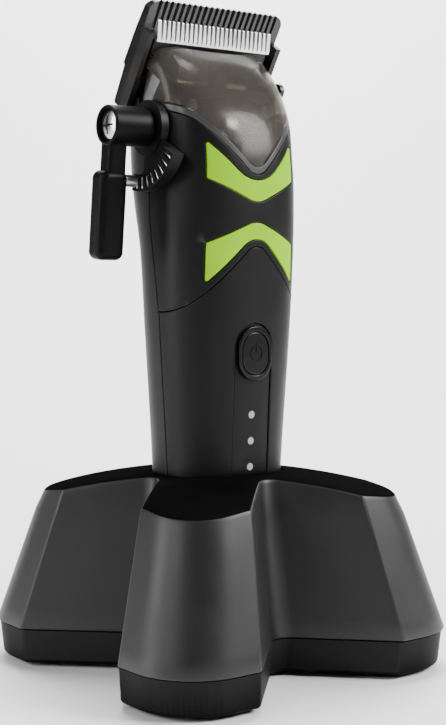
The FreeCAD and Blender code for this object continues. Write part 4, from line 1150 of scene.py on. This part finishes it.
def make_lever_screw():
    """A domed screw head with a cross recess, and the floor of the recess, coloured dark steel as painted shade.
    """
    arm, half = CROSS_ARM, CROSS_HALF_WIDTH
    cross = []
    for turn in range(4):
        c = round(math.cos(turn * math.pi / 2))
        n = round(math.sin(turn * math.pi / 2))
        for u, v, r in ((half, half, 0.08), (arm, half, 0.2), (arm, -half, 0.2)):
            cross.append((u * c + v * n, -u * n + v * c, r))
    loops = [circle(LEVER_SCREW_RADIUS, 0, 0, 64), reverse(by_corners(cross, step=0.4))]
    place = {"body": "taper_lever", "slot": "steel_bright", "surface": dome}
    panel("lever_screw_head", "lever_screw", SCREW_STEEL, loops, 1.0, edge=0.22, spacing=0.5, **place)
    # the recess floor gets a dark steel colour: painted shade inside the cross recess
    loops = [circle(LEVER_RECESS_RADIUS, 0, 0, 48)]
    shape = {"edge": 0.1, "spacing": 0.7, "base_drop": LEVER_RECESS_DEPTH}
    panel("lever_screw_recess_shade", None, DARK_SCREW_AND_RECESS_SHADE, loops, 0.4, **shape, **place)


def ring_block(radius_in, radius_out, start, end, x_low, x_high):
    """Corners and faces of a piece of ring about the hub axis; angles go from straight down to the front."""
    verts = []
    steps = 4
    for k in range(steps + 1):
        a = math.radians(start + (end - start) * k / steps)
        for x in (x_low, x_high):
            for r in (radius_in, radius_out):
                verts.append((x, HUB_Y - r * math.sin(a), HUB_Z - r * math.cos(a)))
    faces = [(0, 1, 3, 2)]
    for k in range(steps):
        i = 4 * k
        faces += [(i, i + 4, i + 5, i + 1), (i + 2, i + 3, i + 7, i + 6)]
        faces += [(i, i + 2, i + 6, i + 4), (i + 1, i + 5, i + 7, i + 3)]
    i = 4 * steps
    faces.append((i, i + 2, i + 3, i + 1))
    return verts, faces


def make_detent_teeth():
    """The rack's bright teeth, one standing in each window of the detent plate."""
    verts = []
    faces = []
    for angle in TOOTH_ANGLES:
        start, end = (angle + a for a in TOOTH_SPAN)
        low, high = (DETENT_X + rise for rise in TOOTH_RISE)
        block, sides = ring_block(*TOOTH_RADII, start, end, low, high)
        faces += [tuple(i + len(verts) for i in side) for side in sides]
        verts += block
    teeth = new_piece("detent_teeth", verts, faces, [SCREW_STEEL], "clipper")
    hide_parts("detent_rack")
    bevelled(teeth, 0.12)


# ---------------- camera, light and floor
def make_stage():
    """A paper floor that curves up into a backdrop behind the object, in metres."""
    size = 3.0
    curve_start = 1.2
    rows = []
    faces = []
    steps = 12
    radius = 0.9
    line = [(-size, 0.0), (curve_start, 0.0)]
    for k in range(1, steps + 1):
        a = math.pi / 2 * k / steps
        line.append((curve_start + radius * math.sin(a), radius * (1 - math.cos(a))))
    line.append((curve_start + radius, size))
    away = Matrix.Rotation(math.radians(BACKDROP_TURN), 3, "Z")
    for depth, height in line:
        for x in (-size, size):
            rows.append(away @ Vector((x, depth, height)))
    for i in range(len(line) - 1):
        faces.append((2 * i, 2 * i + 1, 2 * i + 3, 2 * i + 2))
    mesh = bpy.data.meshes.new("floor")
    mesh.from_pydata(rows, [], faces)
    mesh.polygons.foreach_set("use_smooth", np.ones(len(faces), bool))
    floor = placed("floor", mesh)
    material, shader = graph("floor_paper")
    grain = noise(material, 200, 3.0)
    join(material, tones(material, grain, grey(0.80), grey(0.83)), shader.inputs["Base Color"])
    shader.inputs["Roughness"].default_value = 0.75
    mesh.materials.append(material)


def area_light(name, azimuth, elevation, distance, width, height, power, target):
    """A rectangular lamp aimed at target."""
    lamp = bpy.data.lights.new(name, "AREA")
    lamp.shape = "RECTANGLE"
    lamp.size = width
    lamp.size_y = height
    lamp.energy = power
    obj = placed(name, lamp)
    a = math.radians(azimuth)
    e = math.radians(elevation)
    aim = Vector(target)
    out = Vector((math.sin(a) * math.cos(e), -math.cos(a) * math.cos(e), math.sin(e)))
    obj.location = aim + distance * out
    obj.rotation_euler = (aim - obj.location).to_track_quat("-Z", "Y").to_euler()


def make_lights():
    """The lamps and a faint even light from all round."""
    for lamp in LAMPS:
        area_light(*lamp)
    world = bpy.data.worlds.new("studio")
    world.use_nodes = True
    background = world.node_tree.nodes["Background"]
    background.inputs["Color"].default_value = (1, 1, 1, 1)
    background.inputs["Strength"].default_value = WORLD_STRENGTH
    bpy.context.scene.world = world


def make_camera():
    """The viewpoint: a little left of the front and just above the middle of the object."""
    camera = bpy.data.cameras.new("camera")
    camera.sensor_width = 36
    camera.lens = CAMERA_LENS
    camera.clip_start = 0.01
    obj = placed("camera", camera)
    obj.location = CAMERA_PLACE
    obj.rotation_euler = (math.radians(90 - CAMERA_DOWN), 0, math.radians(CAMERA_TURN))
    bpy.context.scene.camera = obj


make_camera()
make_lights()
make_stage()
dress_nodes()
make_front_shell()
make_lower_cover()
make_bezel()
make_lid()
make_rear_shell()
make_bottom()
make_stand()
make_lever_screw()
make_detent_teeth()
